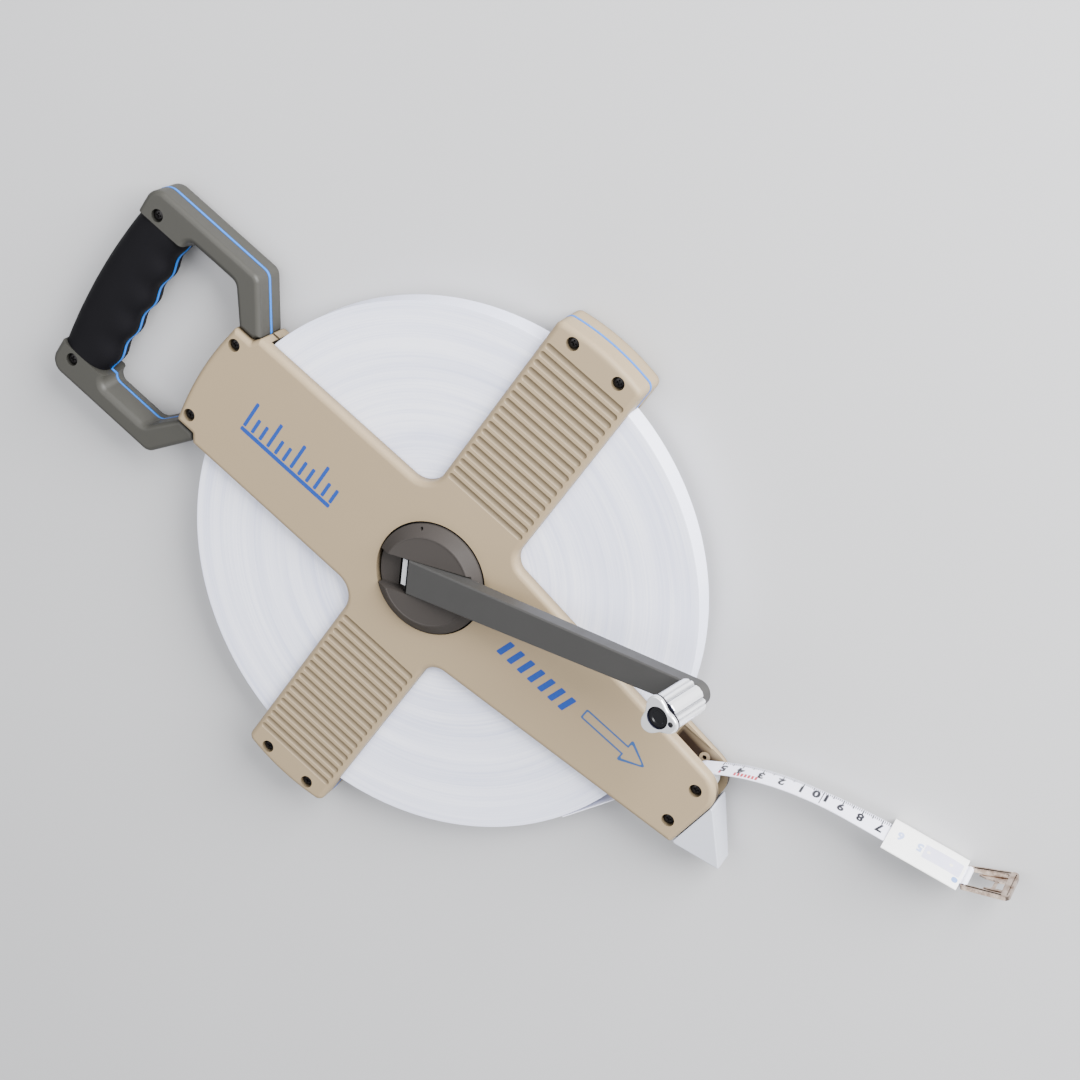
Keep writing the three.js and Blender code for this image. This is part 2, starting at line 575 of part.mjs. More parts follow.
// The strand leaves the roll on its common tangent with the guide roller and bends round the roller.
const TAPE_INSIDE = [];
{
  const [x, y] = FRAME_SCREWS.mouth_upper;
  const roll = ROLL_RADIUS + 0.3 + TAPE_THICK / 2;
  const bend = ROLLER.radius + 0.3 + TAPE_THICK / 2;
  const heading = Math.PI / 2 + Math.atan2(y, x) - Math.acos((roll + bend) / Math.hypot(x, y));
  const leaving = THREE.MathUtils.degToRad(43);
  const STEPS = 5;
  TAPE_INSIDE.push([roll * Math.sin(heading), -roll * Math.cos(heading), MID, 0]);
  for (let k = 0; k <= STEPS; k++) {
    const t = heading + (leaving - heading) * k / STEPS;
    TAPE_INSIDE.push([x - bend * Math.sin(t), y + bend * Math.cos(t), MID, 0]);
  }
  TAPE_INSIDE.push([164, 22, MID, 0]);
}
// Outside, it bends down to the sleeve and turns about its own run as it nears it.
const TAPE_FREE = [
  [164, 22, 13, 0], [167, 24.5, 13, 0], [170.2, 27, 12.9, 0], [174.2, 29.9, 12.8, 0],
  [178.4, 32.6, 12.7, 0], [182.6, 35.1, 12.6, 0], [187, 37.5, 12.5, 0], [191.4, 39.7, 12.4, 0],
  [196, 41.8, 12.3, 0], [205.2, 45.5, 12.1, 0], [214.8, 48.9, 11.9, 2], [224.6, 51.8, 11.7, 5],
  [234.4, 54.5, 11.5, 8], [244.2, 57.05, 11.35, 10.5], [253.8, 59.5, 11.3, 12], [263.4, 62, 11.3, 12],
  [272.4, 64.3, 11.3, 12], [279.9, 66.2, 11.3, 12],
];
add('tape_strand', strip(TAPE_INSIDE, TAPE_WIDTH, TAPE_THICK, 0.3, 0.15), WHITE);
add('tape_free', strip(TAPE_FREE, TAPE_WIDTH, TAPE_THICK, 0.15, 3.4), WHITE);

// ---------- end of the tape: sleeve, ring and hook ----------
// Own frame at the ring's near bar: +X along the tape's end, +Z up its width.
const tail = new THREE.Group();
tail.position.set(280.2, 66.3, 11.3);
tail.rotation.set(THREE.MathUtils.degToRad(12), 0, THREE.MathUtils.degToRad(14.4), 'ZYX');
reel.add(tail);
const SLEEVE = { length: 38.6, width: 22, thick: 3, wall: 0.6, x1: -1.9 };
{
  const s = SLEEVE;
  const outer = new THREE.BoxGeometry(s.length, s.thick, s.width).translate(s.x1 - s.length / 2, 0, 0);
  const inner = new THREE.BoxGeometry(s.length + 4, s.thick - 2 * s.wall, s.width - 2 * s.wall)
    .translate(s.x1 - s.length / 2, 0, 0);
  add('end_sleeve', cut(solid(outer), solid(inner)), CLEAR, tail);

  const loop = new THREE.CylinderGeometry(1.35, 1.35, 12.6, 20).rotateX(Math.PI / 2);
  const tab = new THREE.BoxGeometry(3.1, 1.6, 12.6).translate(-1.7, 0, 0);
  const eye = new THREE.CylinderGeometry(0.95, 0.95, 30, 20).rotateX(Math.PI / 2);
  add('tape_end_loop', cut(sum(solid(loop), solid(tab)), solid(eye)), BRONZE, tail);
}
// The ring turns on its near bar and stands open at an angle to the tape.
const ring = new THREE.Group();
ring.rotation.z = THREE.MathUtils.degToRad(25);
tail.add(ring);
{
  const WIRE = 0.75;
  const NEAR = 7.1;
  const FAR = 8.7;
  const LONG = 21.6;
  const bar = (x0, z0, x1, z1, r = WIRE) => {
    const a = new THREE.Vector3(x0, 0, z0);
    const b = new THREE.Vector3(x1, 0, z1);
    const rod = new THREE.CylinderGeometry(r, r, a.distanceTo(b), 8);
    const along = b.clone().sub(a).normalize();
    rod.applyQuaternion(new THREE.Quaternion().setFromUnitVectors(new THREE.Vector3(0, 1, 0), along));
    return solid(rod.translate((x0 + x1) / 2, 0, (z0 + z1) / 2));
  };
  const ball = (x, z) => solid(new THREE.SphereGeometry(WIRE * 1.02, 8, 6).translate(x, 0, z));
  add('end_ring', sum(
    bar(0, -NEAR, 0, NEAR), bar(0, -NEAR, LONG, -FAR), bar(0, NEAR, LONG, FAR), bar(LONG, -FAR, LONG, FAR),
    ball(0, -NEAR), ball(0, NEAR), ball(LONG, -FAR), ball(LONG, FAR)), BRONZE, ring);

  // flat H-shaped tongue with a window, on the far bar
  const corners = (list) => list.map(([x, y]) => new THREE.Vector2(x, y));
  const shape = new THREE.Shape(corners([
    [20.5, 5.6], [9.6, 5.6], [12, 3.6], [13.2, -1.6], [7.6, -2.2], [6.4, -3.9], [20.5, -5.2],
  ]));
  shape.holes.push(new THREE.Path(corners([[15.4, -1.2], [18.4, -1.2], [18.4, 3.2], [15.4, 3.2]])));
  const claw = new THREE.ExtrudeGeometry(shape, { depth: 0.8, bevelEnabled: false })
    .rotateX(Math.PI / 2).translate(0, 0.4, 0);
  add('end_claw', claw, BRONZE, ring);
}

export default reel;
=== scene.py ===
import math

import bmesh
import bpy
from mathutils import Matrix, Quaternion, Vector


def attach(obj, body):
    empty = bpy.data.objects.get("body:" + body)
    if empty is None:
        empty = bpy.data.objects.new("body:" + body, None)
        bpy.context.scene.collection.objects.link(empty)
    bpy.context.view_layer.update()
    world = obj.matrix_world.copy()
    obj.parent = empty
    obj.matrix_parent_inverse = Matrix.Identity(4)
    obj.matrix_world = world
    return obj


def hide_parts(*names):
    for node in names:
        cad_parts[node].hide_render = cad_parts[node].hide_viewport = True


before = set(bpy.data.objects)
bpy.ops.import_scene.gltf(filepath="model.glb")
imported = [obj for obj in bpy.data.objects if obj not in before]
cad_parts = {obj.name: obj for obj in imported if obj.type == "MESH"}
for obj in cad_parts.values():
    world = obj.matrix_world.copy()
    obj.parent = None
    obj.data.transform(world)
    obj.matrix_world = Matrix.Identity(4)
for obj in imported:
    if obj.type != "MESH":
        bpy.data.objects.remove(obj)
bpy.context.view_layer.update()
MM = 0.001


# ------------------------ dimensions, in millimetres as in the CAD
DEPTH, MID = 26.0, 13.0
ROLL_R, ROLL_INNER, ROLL_LOW, ROLL_HIGH = 135.6, 30.2, 6.5, 19.5
TAPE_W, TAPE_T = 13.0, 0.45
SEAM_Z = MID + 0.9                  # edge of the front shell at the seam
PLATE_Z = 20.0                      # inner face of the front shell's plate
CLEAR_R = 137.2                     # room round the roll
HALF, LONG_HALF = 25.5, 36.0        # half widths of the ribbed arms and of the handle arm
MOUTH_TAPER = 0.112                 # fall of the mouth arm's half width per millimetre
WALL = 2.4
RIB_COUNT, RIB_FIRST, RIB_PITCH = 18, 51, 5
RIB_HALF, RIB_RADIUS, RIB_DEPTH = 23.6, 2.0, 1.0
SCREW_HEAD, SCREW_ROOM, SCREW_HOLE = 2.7, 3.3, 1.7
HUB_HOLE = 29.2
GRIP_END, GRIP_OUTER, GRIP_INNER = 43.6, -227, -196.2
GRIP_PITCH, GRIP_PHASE = 19, 3.5    # of the finger waves
FRAME_SCREWS = {
    "upper_left": (-13.6, 144.9), "upper_right": (13.6, 144.9),
    "lower_left": (-13.6, -144.9), "lower_right": (13.6, -144.9),
    "handle_upper": (-145.5, 24.0), "handle_lower": (-145.5, -24.0),
    "mouth_upper": (162.2, 11.4), "mouth_lower": (162.2, -11.4),
}
GRIP_SCREWS = {"grip_upper": (-213.4, 48.4), "grip_lower": (-213.4, -48.4)}
CRANK_TURN, CRANK_RISE, CRANK_HEIGHT = 28.6, 11.45, 7.7
CRANK_LENGTH, ARM_THICK, ARM_END = 151.5, 7.9, 6.3
KNOB_BORE, STUD_AT = 5.3, (158.4, -0.5)
ROLLER_R = 6.1
SLEEVE_START, SLEEVE_LENGTH = 1.9, 38.6
SLEEVE_HALF, SLEEVE_DEEP = 10.95, 1.35


# ------------------------ camera, as in the photograph
camera_data = bpy.data.cameras.new("camera")
camera = bpy.data.objects.new("camera", camera_data)
bpy.context.scene.collection.objects.link(camera)
camera.rotation_mode = "QUATERNION"
camera.rotation_quaternion = Quaternion((0.9064086, -0.2230769, 0.1349402, 0.3323422))
camera.location = (0.120338, 0.544998, 0.844629)
camera_data.sensor_width = 36.0
camera_data.lens = 68.2209
camera_data.shift_x = -0.019385
camera_data.shift_y = -0.027635
camera_data.clip_start, camera_data.clip_end = 0.01, 20.0
bpy.context.scene.camera = camera


# ------------------------ mesh helpers
def new_object(name, verts, faces, scale=MM, solid=True):
    mesh = bpy.data.meshes.new(name)
    mesh.from_pydata([Vector(v) * scale for v in verts], [], faces)
    if solid:
        bm = bmesh.new()
        bm.from_mesh(mesh)
        bmesh.ops.recalc_face_normals(bm, faces=bm.faces)
        bm.to_mesh(mesh)
        bm.free()
    mesh.update()
    obj = bpy.data.objects.new(name, mesh)
    bpy.context.scene.collection.objects.link(obj)
    return obj


def loft(name, loops, closed=True):
    """A skin over loops of equally many points: closed by end faces, or else joined last to first."""
    m = len(loops[0])
    last = (len(loops) - 1) * m
    verts = [p for loop in loops for p in loop]
    faces = []
    for k in range(len(loops) - 1):
        for j in range(m):
            a, b = k * m + j, k * m + (j + 1) % m
            faces.append((a, b, b + m, a + m))
    if closed:
        faces.append(tuple(reversed(range(m))))
        faces.append(tuple(range(last, last + m)))
    else:
        for j in range(m):
            faces.append((last + j, last + (j + 1) % m, (j + 1) % m, j))
    return new_object(name, verts, faces)


def outline(corners, inset=0.0, fine=0.12):
    """Corners (x, y, radius), counter-clockwise, moved inwards by inset, with rounded corners."""
    n = len(corners)
    sides = []
    for i, c in enumerate(corners):
        d = corners[(i + 1) % n]
        along = Vector((d[0] - c[0], d[1] - c[1])).normalized()
        inward = Vector((-along.y, along.x))
        sides.append((along, Vector((c[0], c[1])) + inward * inset))
    points = []
    for i, c in enumerate(corners):
        (u, pa), (v, pb) = sides[i - 1], sides[i]
        turn = u.x * v.y - u.y * v.x
        w = pb - pa
        corner = pa + u * ((w.x * v.y - w.y * v.x) / turn)
        if not c[2]:
            points.append(corner)
            continue
        side = 1.0 if turn > 0 else -1.0
        radius = max(c[2] - side * inset, 0.05)
        bend = math.atan2(turn, u.dot(v))
        steps = max(2, math.ceil(abs(bend) / (0.02 if c[2] > 60 else fine)))
        start = corner - u * (radius * math.tan(abs(bend) / 2))
        centre = start + Vector((-u.y, u.x)) * (side * radius)
        for k in range(steps + 1):
            points.append(centre + Matrix.Rotation(bend * k / steps, 2) @ (start - centre))
    return points


def circle(x, y, r, z, sides):
    """A loop of points round an upright axis."""
    turns = [2 * math.pi * k / sides for k in range(sides)]
    return [(x + r * math.cos(t), y + r * math.sin(t), z) for t in turns]


def plate(name, corners, z0, z1, inset=0.0, rounding=0.0):
    """An outline raised from z0 to z1, with its upper edge rounded."""
    levels = [(z0, 0.0), (z1 - rounding, 0.0)]
    if rounding:
        steps = 8
        for k in range(1, steps + 1):
            t = math.pi / 2 * k / steps
            levels.append((z1 - rounding + rounding * math.sin(t), rounding * (1 - math.cos(t))))
    loops = [[(p.x, p.y, z) for p in outline(corners, inset + inward)] for z, inward in levels]
    return loft(name, loops)


def lathe(name, profile, sides=96, centre=(0.0, 0.0)):
    """A ring turned from a profile (radius, z) that never reaches the axis."""
    return loft(name, [circle(*centre, r, z, sides) for r, z in profile], closed=False)


def box(name, x0, x1, y0, y1, z0, z1):
    loops = [[(x0, y0, z), (x1, y0, z), (x1, y1, z), (x0, y1, z)] for z in (z0, z1)]
    return loft(name, loops)


def post(name, x, y, r, z0, z1, sides=48):
    return loft(name, [circle(x, y, r, z, sides) for z in (z0, z1)])


def boolean(obj, tool, operation):
    """Cuts or joins with a tool, which is used up."""
    modifier = obj.modifiers.new("cut", "BOOLEAN")
    modifier.solver = "MANIFOLD"
    modifier.operation = operation
    modifier.object = tool
    bpy.context.view_layer.update()
    made = bpy.data.meshes.new_from_object(obj.evaluated_get(bpy.context.evaluated_depsgraph_get()))
    obj.modifiers.clear()
    old = obj.data
    obj.data = made
    made.name = obj.name
    bpy.data.meshes.remove(old)
    tool_mesh = tool.data
    bpy.data.objects.remove(tool)
    bpy.data.meshes.remove(tool_mesh)
    return obj


def cut(obj, *tools):
    for tool in tools:
        boolean(obj, tool, "DIFFERENCE")
    return obj


def join(obj, *tools):
    for tool in tools:
        boolean(obj, tool, "UNION")
    return obj


def keep(obj, tool):
    return boolean(obj, tool, "INTERSECT")


def mirror_depth(obj):
    """The rear half is the front half mirrored in the seam."""
    for v in obj.data.vertices:
        v.co.z = DEPTH * MM - v.co.z
    obj.data.flip_normals()
    return obj


def tidy_faces(obj):
    bm = bmesh.new()
    bm.from_mesh(obj.data)
    bmesh.ops.remove_doubles(bm, verts=bm.verts, dist=2e-6)
    bmesh.ops.dissolve_limit(bm, angle_limit=math.radians(0.6), verts=bm.verts, edges=bm.edges)
    bm.to_mesh(obj.data)
    bm.free()


def shade(obj, bevel=0.0, segments=2):
    """Small rounds on the sharp edges, and smooth shading everywhere else."""
    if bevel:
        tidy_faces(obj)
        modifier = obj.modifiers.new("edge", "BEVEL")
        modifier.width = bevel * MM
        modifier.segments = segments
        modifier.limit_method = "ANGLE"
        modifier.angle_limit = math.radians(32.0)
        modifier.use_clamp_overlap = True
        modifier.miter_outer = "MITER_ARC"
        bpy.context.view_layer.update()
        made = bpy.data.meshes.new_from_object(obj.evaluated_get(bpy.context.evaluated_depsgraph_get()))
        obj.modifiers.clear()
        obj.data = made
    mesh = obj.data
    mesh.shade_smooth()
    mesh.set_sharp_from_angle(angle=math.radians(40.0))
    weighted = obj.modifiers.new("normals", "WEIGHTED_NORMAL")
    weighted.keep_sharp = True
    weighted.weight = 100
    return obj


def dress(obj, material, body, slot, *replaced):
    obj.data.materials.clear()
    obj.data.materials.append(material)
    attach(obj, body)
    if replaced:
        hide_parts(*replaced)
    return obj


# ------------------------ materials
class Paint:
    """A node material with a Principled shader and helpers that wire its detail."""

    def __init__(self, name, colour, roughness, metallic=0.0, **sockets):
        self.material = bpy.data.materials.new(name)
        self.material.use_nodes = True
        self.tree = self.material.node_tree
        self.shader = self.tree.nodes["Principled BSDF"]
        self.shader.inputs["Base Color"].default_value = (*colour, 1.0)
        self.shader.inputs["Roughness"].default_value = roughness
        self.shader.inputs["Metallic"].default_value = metallic
        for socket, value in sockets.items():
            self.shader.inputs[socket.replace("_", " ")].default_value = value
        self.coords = self.node("ShaderNodeTexCoord").outputs["Object"]

    def node(self, kind, **inputs):
        made = self.tree.nodes.new(kind)
        for key, value in inputs.items():
            self.plug(made.inputs[key.replace("_", " ")], value)
        return made

    def plug(self, socket, value):
        if isinstance(value, bpy.types.NodeSocket):
            self.tree.links.new(value, socket)
        else:
            socket.default_value = value

    def math(self, operation, a, b=0.0):
        made = self.tree.nodes.new("ShaderNodeMath")
        made.operation = operation
        self.plug(made.inputs[0], a)
        self.plug(made.inputs[1], b)
        return made.outputs[0]

    def noise(self, scale, detail=4.0, roughness=0.6, coords=None):
        return self.node("ShaderNodeTexNoise", Vector=coords or self.coords, Scale=scale,
                         Detail=detail, Roughness=roughness).outputs["Fac"]

    def ramp(self, value, low, high, out_low=0.0, out_high=1.0):
        made = self.tree.nodes.new("ShaderNodeMapRange")
        self.plug(made.inputs["Value"], value)
        limits = {"From Min": low, "From Max": high, "To Min": out_low, "To Max": out_high}
        for key, number in limits.items():
            made.inputs[key].default_value = number
        return made.outputs["Result"]

    def mix(self, factor, a, b):
        made = self.tree.nodes.new("ShaderNodeMix")
        made.data_type = "RGBA"
        self.plug(made.inputs["Factor"], factor)
        for socket, value in ((made.inputs[6], a), (made.inputs[7], b)):
            self.plug(socket, value if isinstance(value, bpy.types.NodeSocket) else (*value, 1.0))
        return made.outputs[2]

    def crevice_shade(self, tone, distance, dark, low=0.35, high=0.95):
        """Painted shade: mixes the dark colour into gaps and corners narrower than the distance, by
        ambient occlusion.
        """
        shadow = self.tree.nodes.new("ShaderNodeAmbientOcclusion")
        shadow.samples = 8
        shadow.inputs["Distance"].default_value = distance
        return self.mix(self.ramp(shadow.outputs["AO"], low, high), dark, tone)

    def base(self, value):
        self.plug(self.shader.inputs["Base Color"], value)

    def rough(self, value):
        self.plug(self.shader.inputs["Roughness"], value)

    def bump(self, height, strength, distance):
        made = self.node("ShaderNodeBump", Height=height, Strength=strength, Distance=distance)
        self.plug(self.shader.inputs["Normal"], made.outputs["Normal"])


def moulded(name, colour, roughness, grain=2600.0, depth=0.00003, tint=0.05, sheen=0.3, crevice_shade=0.0,
            shadows=None):
    """A moulded, cast or painted surface: fine grain, faint flow marks, uneven gloss, and, where asked,
    painted shade in crevices and in given places.
    """
    p = Paint(name, colour, roughness)
    p.shader.inputs["Specular IOR Level"].default_value = sheen
    flow = p.noise(9.0, 3.0)
    dark = tuple(c * (1 - tint) for c in colour)
    light = tuple(min(1.0, c * (1 + tint)) for c in colour)
    fine = p.noise(grain, 2.0, 0.5)
    tone = p.mix(p.math("ADD", p.math("MULTIPLY", flow, 0.8), p.math("MULTIPLY", fine, 0.2)), dark, light)
    # painted shade: crevices darkened by ambient occlusion
    if crevice_shade:
        tone = p.crevice_shade(tone, crevice_shade, tuple(c * 0.30 for c in colour))
    if shadows:
        tone = shadows(p, tone, colour)
    p.base(tone)
    p.rough(p.ramp(p.noise(120.0, 5.0), 0.3, 0.7, roughness - 0.05, roughness + 0.06))
    p.bump(fine, 0.22, depth)
    return p


def inside(p, value, edge, soft):
    """1 where the value is well below the edge, falling to 0 at the edge plus the soft width."""
    return p.ramp(value, edge * MM, (edge + soft) * MM, 1.0, 0.0)


def outside(p, value, edge, soft):
    return p.math("SUBTRACT", 1.0, inside(p, value, edge, soft))


def painted_shell_shade(p, tone, colour):
    """Painted shade: darker tones in the grip ribs' grooves, and deep in the mouth beside the guide
    roller.
    """
    parts = p.node("ShaderNodeSeparateXYZ", Vector=p.coords)
    x, y, z = parts.outputs["X"], parts.outputs["Y"], parts.outputs["Z"]
    level = p.math("ABSOLUTE", p.math("SUBTRACT", z, MID * MM))
    across, along = p.math("ABSOLUTE", x), p.math("ABSOLUTE", y)
    # painted shade across the rib grooves
    ribs = p.math("MULTIPLY", inside(p, across, 23.4, 0.6), outside(p, along, 48.0, 0.6))
    ribs = p.math("MULTIPLY", ribs, inside(p, along, 138.0, 0.6))
    ribs = p.math("MULTIPLY", ribs, inside(p, level, 12.35, 0.5))
    tone = p.mix(ribs, tone, tuple(c * 0.60 for c in colour))
    # painted shade, a near-black brown, deep in the sunk mouth floor
    rim = p.math("ADD", y, p.math("MULTIPLY", x, MOUTH_TAPER))
    mouth = p.math("MULTIPLY", inside(p, rim, 34.5, 5.0), outside(p, x, 136.5, 3.0))
    sunk = p.math("MULTIPLY", inside(p, level, 9.6, 0.4), outside(p, level, 7.1, 0.3))
    return p.mix(p.math("MULTIPLY", mouth, sunk), tone, (0.020, 0.011, 0.006))


# painted shade: the beige shells and grey handle darken in crevices by occlusion, and the beige also in
# its rib grooves and mouth
BEIGE = moulded("beige_plastic", (0.278, 0.212, 0.130), 0.48, crevice_shade=0.006, shadows=painted_shell_shade)
GREY = moulded("grey_plastic", (0.0398, 0.0387, 0.0337), 0.5, depth=0.00004, crevice_shade=0.006)
HUB_GREY = moulded("hub_plastic", (0.0385, 0.0338, 0.0312), 0.56, sheen=0.14)
BLUE = moulded("blue_plastic", (0.003, 0.135, 0.54), 0.45)
WHITE = moulded("white_plastic", (0.80, 0.80, 0.80), 0.4)
BLACK = moulded("black_plastic", (0.006, 0.006, 0.007), 0.3)
SPIKE = moulded("cast_alloy", (0.45, 0.465, 0.53), 0.38, grain=1700.0, depth=0.00006, sheen=0.6)
RUBBER = moulded("grip_rubber", (0.0034, 0.0032, 0.0044), 0.65, grain=3400.0, depth=0.00008, tint=0.2,
                 sheen=0.11)
ARM = moulded("crank_paint", (0.0400, 0.0390, 0.0378), 0.46, grain=1900.0, depth=0.00003)

CHROME = Paint("chrome", (0.93, 0.935, 0.96), 0.14, 0.66)
# painted shade and painted dark reflection: flutes, the cap's gap and other hollows take a dark blue-grey
# by occlusion
CHROME.base(CHROME.crevice_shade((0.93, 0.935, 0.96), 0.006, (0.030, 0.033, 0.065), 0.60, 0.97))
CHROME.rough(CHROME.ramp(CHROME.noise(160.0, 4.0), 0.3, 0.7, 0.12, 0.22))
CHROME.bump(CHROME.noise(60.0, 2.0), 0.05, 0.0001)

NICKEL = Paint("nickel", (0.40, 0.29, 0.22), 0.22, 1.0)
WORN = NICKEL.mix(NICKEL.ramp(NICKEL.noise(240.0, 3.0), 0.30, 0.60),
                  (0.24, 0.155, 0.11), (0.64, 0.53, 0.45))
# painted shade: narrow gaps and corners of the ring and claw darken by occlusion
NICKEL.base(NICKEL.crevice_shade(WORN, 0.0016, (0.016, 0.008, 0.005), 0.30, 0.80))
NICKEL.rough(NICKEL.ramp(NICKEL.noise(500.0, 4.0), 0.3, 0.7, 0.14, 0.28))
NICKEL.bump(NICKEL.noise(900.0, 3.0), 0.08, 0.00005)

STEEL = Paint("black_screw", (0.012, 0.011, 0.012), 0.34, 0.7)
STEEL.base(STEEL.mix(STEEL.noise(700.0, 3.0), (0.006, 0.0055, 0.006), (0.022, 0.020, 0.021)))
STEEL.bump(STEEL.noise(1500.0, 2.0), 0.1, 0.00004)


def print_paint(name, colour):
    p = Paint(name, colour, 0.45)
    dark, light = tuple(c * 0.85 for c in colour), tuple(min(1, c * 1.15) for c in colour)
    p.base(p.mix(p.noise(900.0, 3.0), dark, light))
    p.bump(p.noise(2600.0, 2.0), 0.1, 0.00002)
    return p


PRINT_BLUE = print_paint("blue_print", (0.001, 0.040, 0.25))
PRINT_PALE_BLUE = print_paint("pale_blue_print", (0.018, 0.070, 0.215))
PRINT_BLACK = print_paint("black_print", (0.004, 0.004, 0.009))
PRINT_RED = print_paint("red_print", (0.40, 0.010, 0.035))
PRINT_FAINT = print_paint("print_through", (0.36, 0.44, 0.70))
STAIN = print_paint("blue_stain", (0.17, 0.28, 0.58))
CREAM = print_paint("cream_spots", (0.84, 0.80, 0.72))


def roll_paint():
    """The edges of hundreds of turns: fine rings in broader bands, with a few darker specks."""
    p = Paint("wound_tape", (0.80, 0.81, 0.90), 0.5)
    parts = p.node("ShaderNodeSeparateXYZ", Vector=p.coords)
    x, y = parts.outputs["X"], parts.outputs["Y"]
    radius = p.math("SQRT", p.math("ADD", p.math("MULTIPLY", x, x), p.math("MULTIPLY", y, y)))
    ring = p.tree.nodes.new("ShaderNodeCombineXYZ")
    angle = p.math("ARCTAN2", y, x)
    p.plug(ring.inputs[0], p.math("MULTIPLY", radius, 900.0))
    p.plug(ring.inputs[1], p.math("MULTIPLY", angle, 0.35))
    turns = p.noise(1.0, 6.0, 0.75, ring.outputs[0])
    broad = p.tree.nodes.new("ShaderNodeCombineXYZ")
    p.plug(broad.inputs[0], p.math("MULTIPLY", radius, 110.0))
    p.plug(broad.inputs[1], p.math("MULTIPLY", angle, 0.6))
    bands = p.noise(1.0, 3.0, 0.6, broad.outputs[0])
    specks = p.ramp(p.noise(420.0, 2.0, 0.5), 0.70, 0.78)
    tone = p.math("ADD", p.math("MULTIPLY", turns, 0.5), p.math("MULTIPLY", bands, 0.5))
    base = p.mix(p.ramp(tone, 0.38, 0.60), (0.63, 0.66, 0.84), (0.87, 0.885, 1.0))
    p.base(p.mix(p.math("MULTIPLY", specks, 0.35), base, (0.66, 0.67, 0.82)))
    p.rough(p.ramp(bands, 0.3, 0.7, 0.42, 0.58))
    p.bump(p.math("ADD", turns, p.math("MULTIPLY", bands, 0.3)), 0.30, 0.00012)
    return p


ROLL = roll_paint()

TAPE = Paint("tape_coating", (0.80, 0.80, 0.92), 0.4)
TAPE.base(TAPE.mix(TAPE.noise(160.0, 3.0), (0.76, 0.765, 0.90), (0.83, 0.83, 0.94)))
TAPE.bump(TAPE.noise(1400.0, 2.0), 0.12, 0.00004)

CLEAR = Paint("milky_vinyl", (0.93, 0.93, 0.92), 0.28, Transmission_Weight=0.06, IOR=1.4)
CLEAR.base(CLEAR.mix(CLEAR.noise(120.0, 3.0), (0.90, 0.90, 0.90), (0.96, 0.96, 0.945)))
CLEAR.rough(CLEAR.ramp(CLEAR.noise(90.0, 4.0), 0.3, 0.7, 0.24, 0.40))
CLEAR.bump(CLEAR.noise(140.0, 3.0), 0.2, 0.0002)

VEIL = Paint("tape_seen_through", (0.80, 0.80, 0.90), 0.35)
VEIL.base(VEIL.mix(VEIL.noise(180.0, 3.0), (0.54, 0.54, 0.72), (0.66, 0.655, 0.80)))
VEIL.bump(VEIL.noise(140.0, 3.0), 0.2, 0.0002)


# ------------------------ the free tape
def smooth_path(points, steps):
    """A Catmull-Rom line through points of any size, with the given steps between each two."""
    made = []
    for i in range(len(points) - 1):
        p0 = Vector(points[max(i - 1, 0)])
        p1, p2 = Vector(points[i]), Vector(points[i + 1])
        p3 = Vector(points[min(i + 2, len(points) - 1)])
        for k in range(steps):
            t = k / steps
            made.append(0.5 * ((2 * p1) + (p2 - p0) * t + (2 * p0 - 5 * p1 + 4 * p2 - p3) * t ** 2
                               + (3 * p1 - p0 - 3 * p2 + p3) * t ** 3))
    made.append(Vector(points[-1]))
    return made


def frames(points):
    """Centre, run, width and face directions, and the length so far, at each (x, y, z, twist)."""
    out = []
    length = 0.0
    for i, p in enumerate(points):
        at = Vector(p[:3])
        a, b = Vector(points[max(i - 1, 0)][:3]), Vector(points[min(i + 1, len(points) - 1)][:3])
        run = (b - a).normalized()
        if i:
            length += (at - out[-1][0]).length
        lean = math.radians(p[3])
        up = (Vector((0, 0, 1)) - run * run.z).normalized()
        side = up.cross(run)
        wide = up * math.cos(lean) - side * math.sin(lean)
        out.append((at, run, wide, wide.cross(run), length))
    return out


def tape_strip(name, points, width, thick):
    """A thin strip that follows a tape line."""
    across = 12
    loops = []
    for at, run, wide, face, _ in frames(points):
        loop = []
        for k in range(across + 1):
            v = 1 - 2 * k / across
            loop.append(at + wide * (v * width / 2) + face * (thick / 2))
        for k in range(across + 1):
            v = -1 + 2 * k / across
            loop.append(at + wide * (v * width / 2) - face * (thick / 2))
        loops.append(list(reversed(loop)))
    return loft(name, loops)


class Line:
    """Places flat shapes on a tape line: s along it, v across it, h above the printed face."""

    def __init__(self, points, thick):
        self.rows = frames(points)
        self.thick = thick

    def at(self, s, v, h=0.0):
        rows = self.rows
        i = 1
        while i < len(rows) - 1 and rows[i][4] < s:
            i += 1
        a, b = rows[i - 1], rows[i]
        t = (s - a[4]) / (b[4] - a[4])
        mixed = [x.lerp(y, t) for x, y in zip(a[:4], b[:4])]
        return mixed[0] + mixed[2] * v + mixed[3] * (self.thick / 2 + h)


CORD_PATH = [
    (164, 22, 13, 0), (167, 24.5, 13, 0), (170.2, 27, 12.9, 0), (174.2, 29.9, 12.8, 0),
    (178.4, 32.6, 12.7, 0), (182.6, 35.1, 12.6, 0), (187, 37.5, 12.5, 0), (191.4, 39.7, 12.4, 0),
    (196, 41.8, 12.3, 0), (205.2, 45.5, 12.1, 0), (214.8, 48.9, 11.9, 2), (224.6, 51.8, 11.7, 5),
    (234.4, 54.5, 11.5, 8), (244.2, 57.05, 11.35, 10.5), (253.8, 59.5, 11.3, 12), (263.4, 62, 11.3, 12),
    (272.4, 64.3, 11.3, 12), (276.9, 65.45, 11.3, 12),
]
tape_line = smooth_path(CORD_PATH, 5)
tape_free = tape_strip("tape_free_end", tape_line, TAPE_W, TAPE_T)
shade(tape_free)
dress(tape_free, TAPE.material, "frame", "tape", "tape_free")


# ------------------------ frame shells
def mouth_half(x):
    return LONG_HALF - MOUTH_TAPER * (x - LONG_HALF)


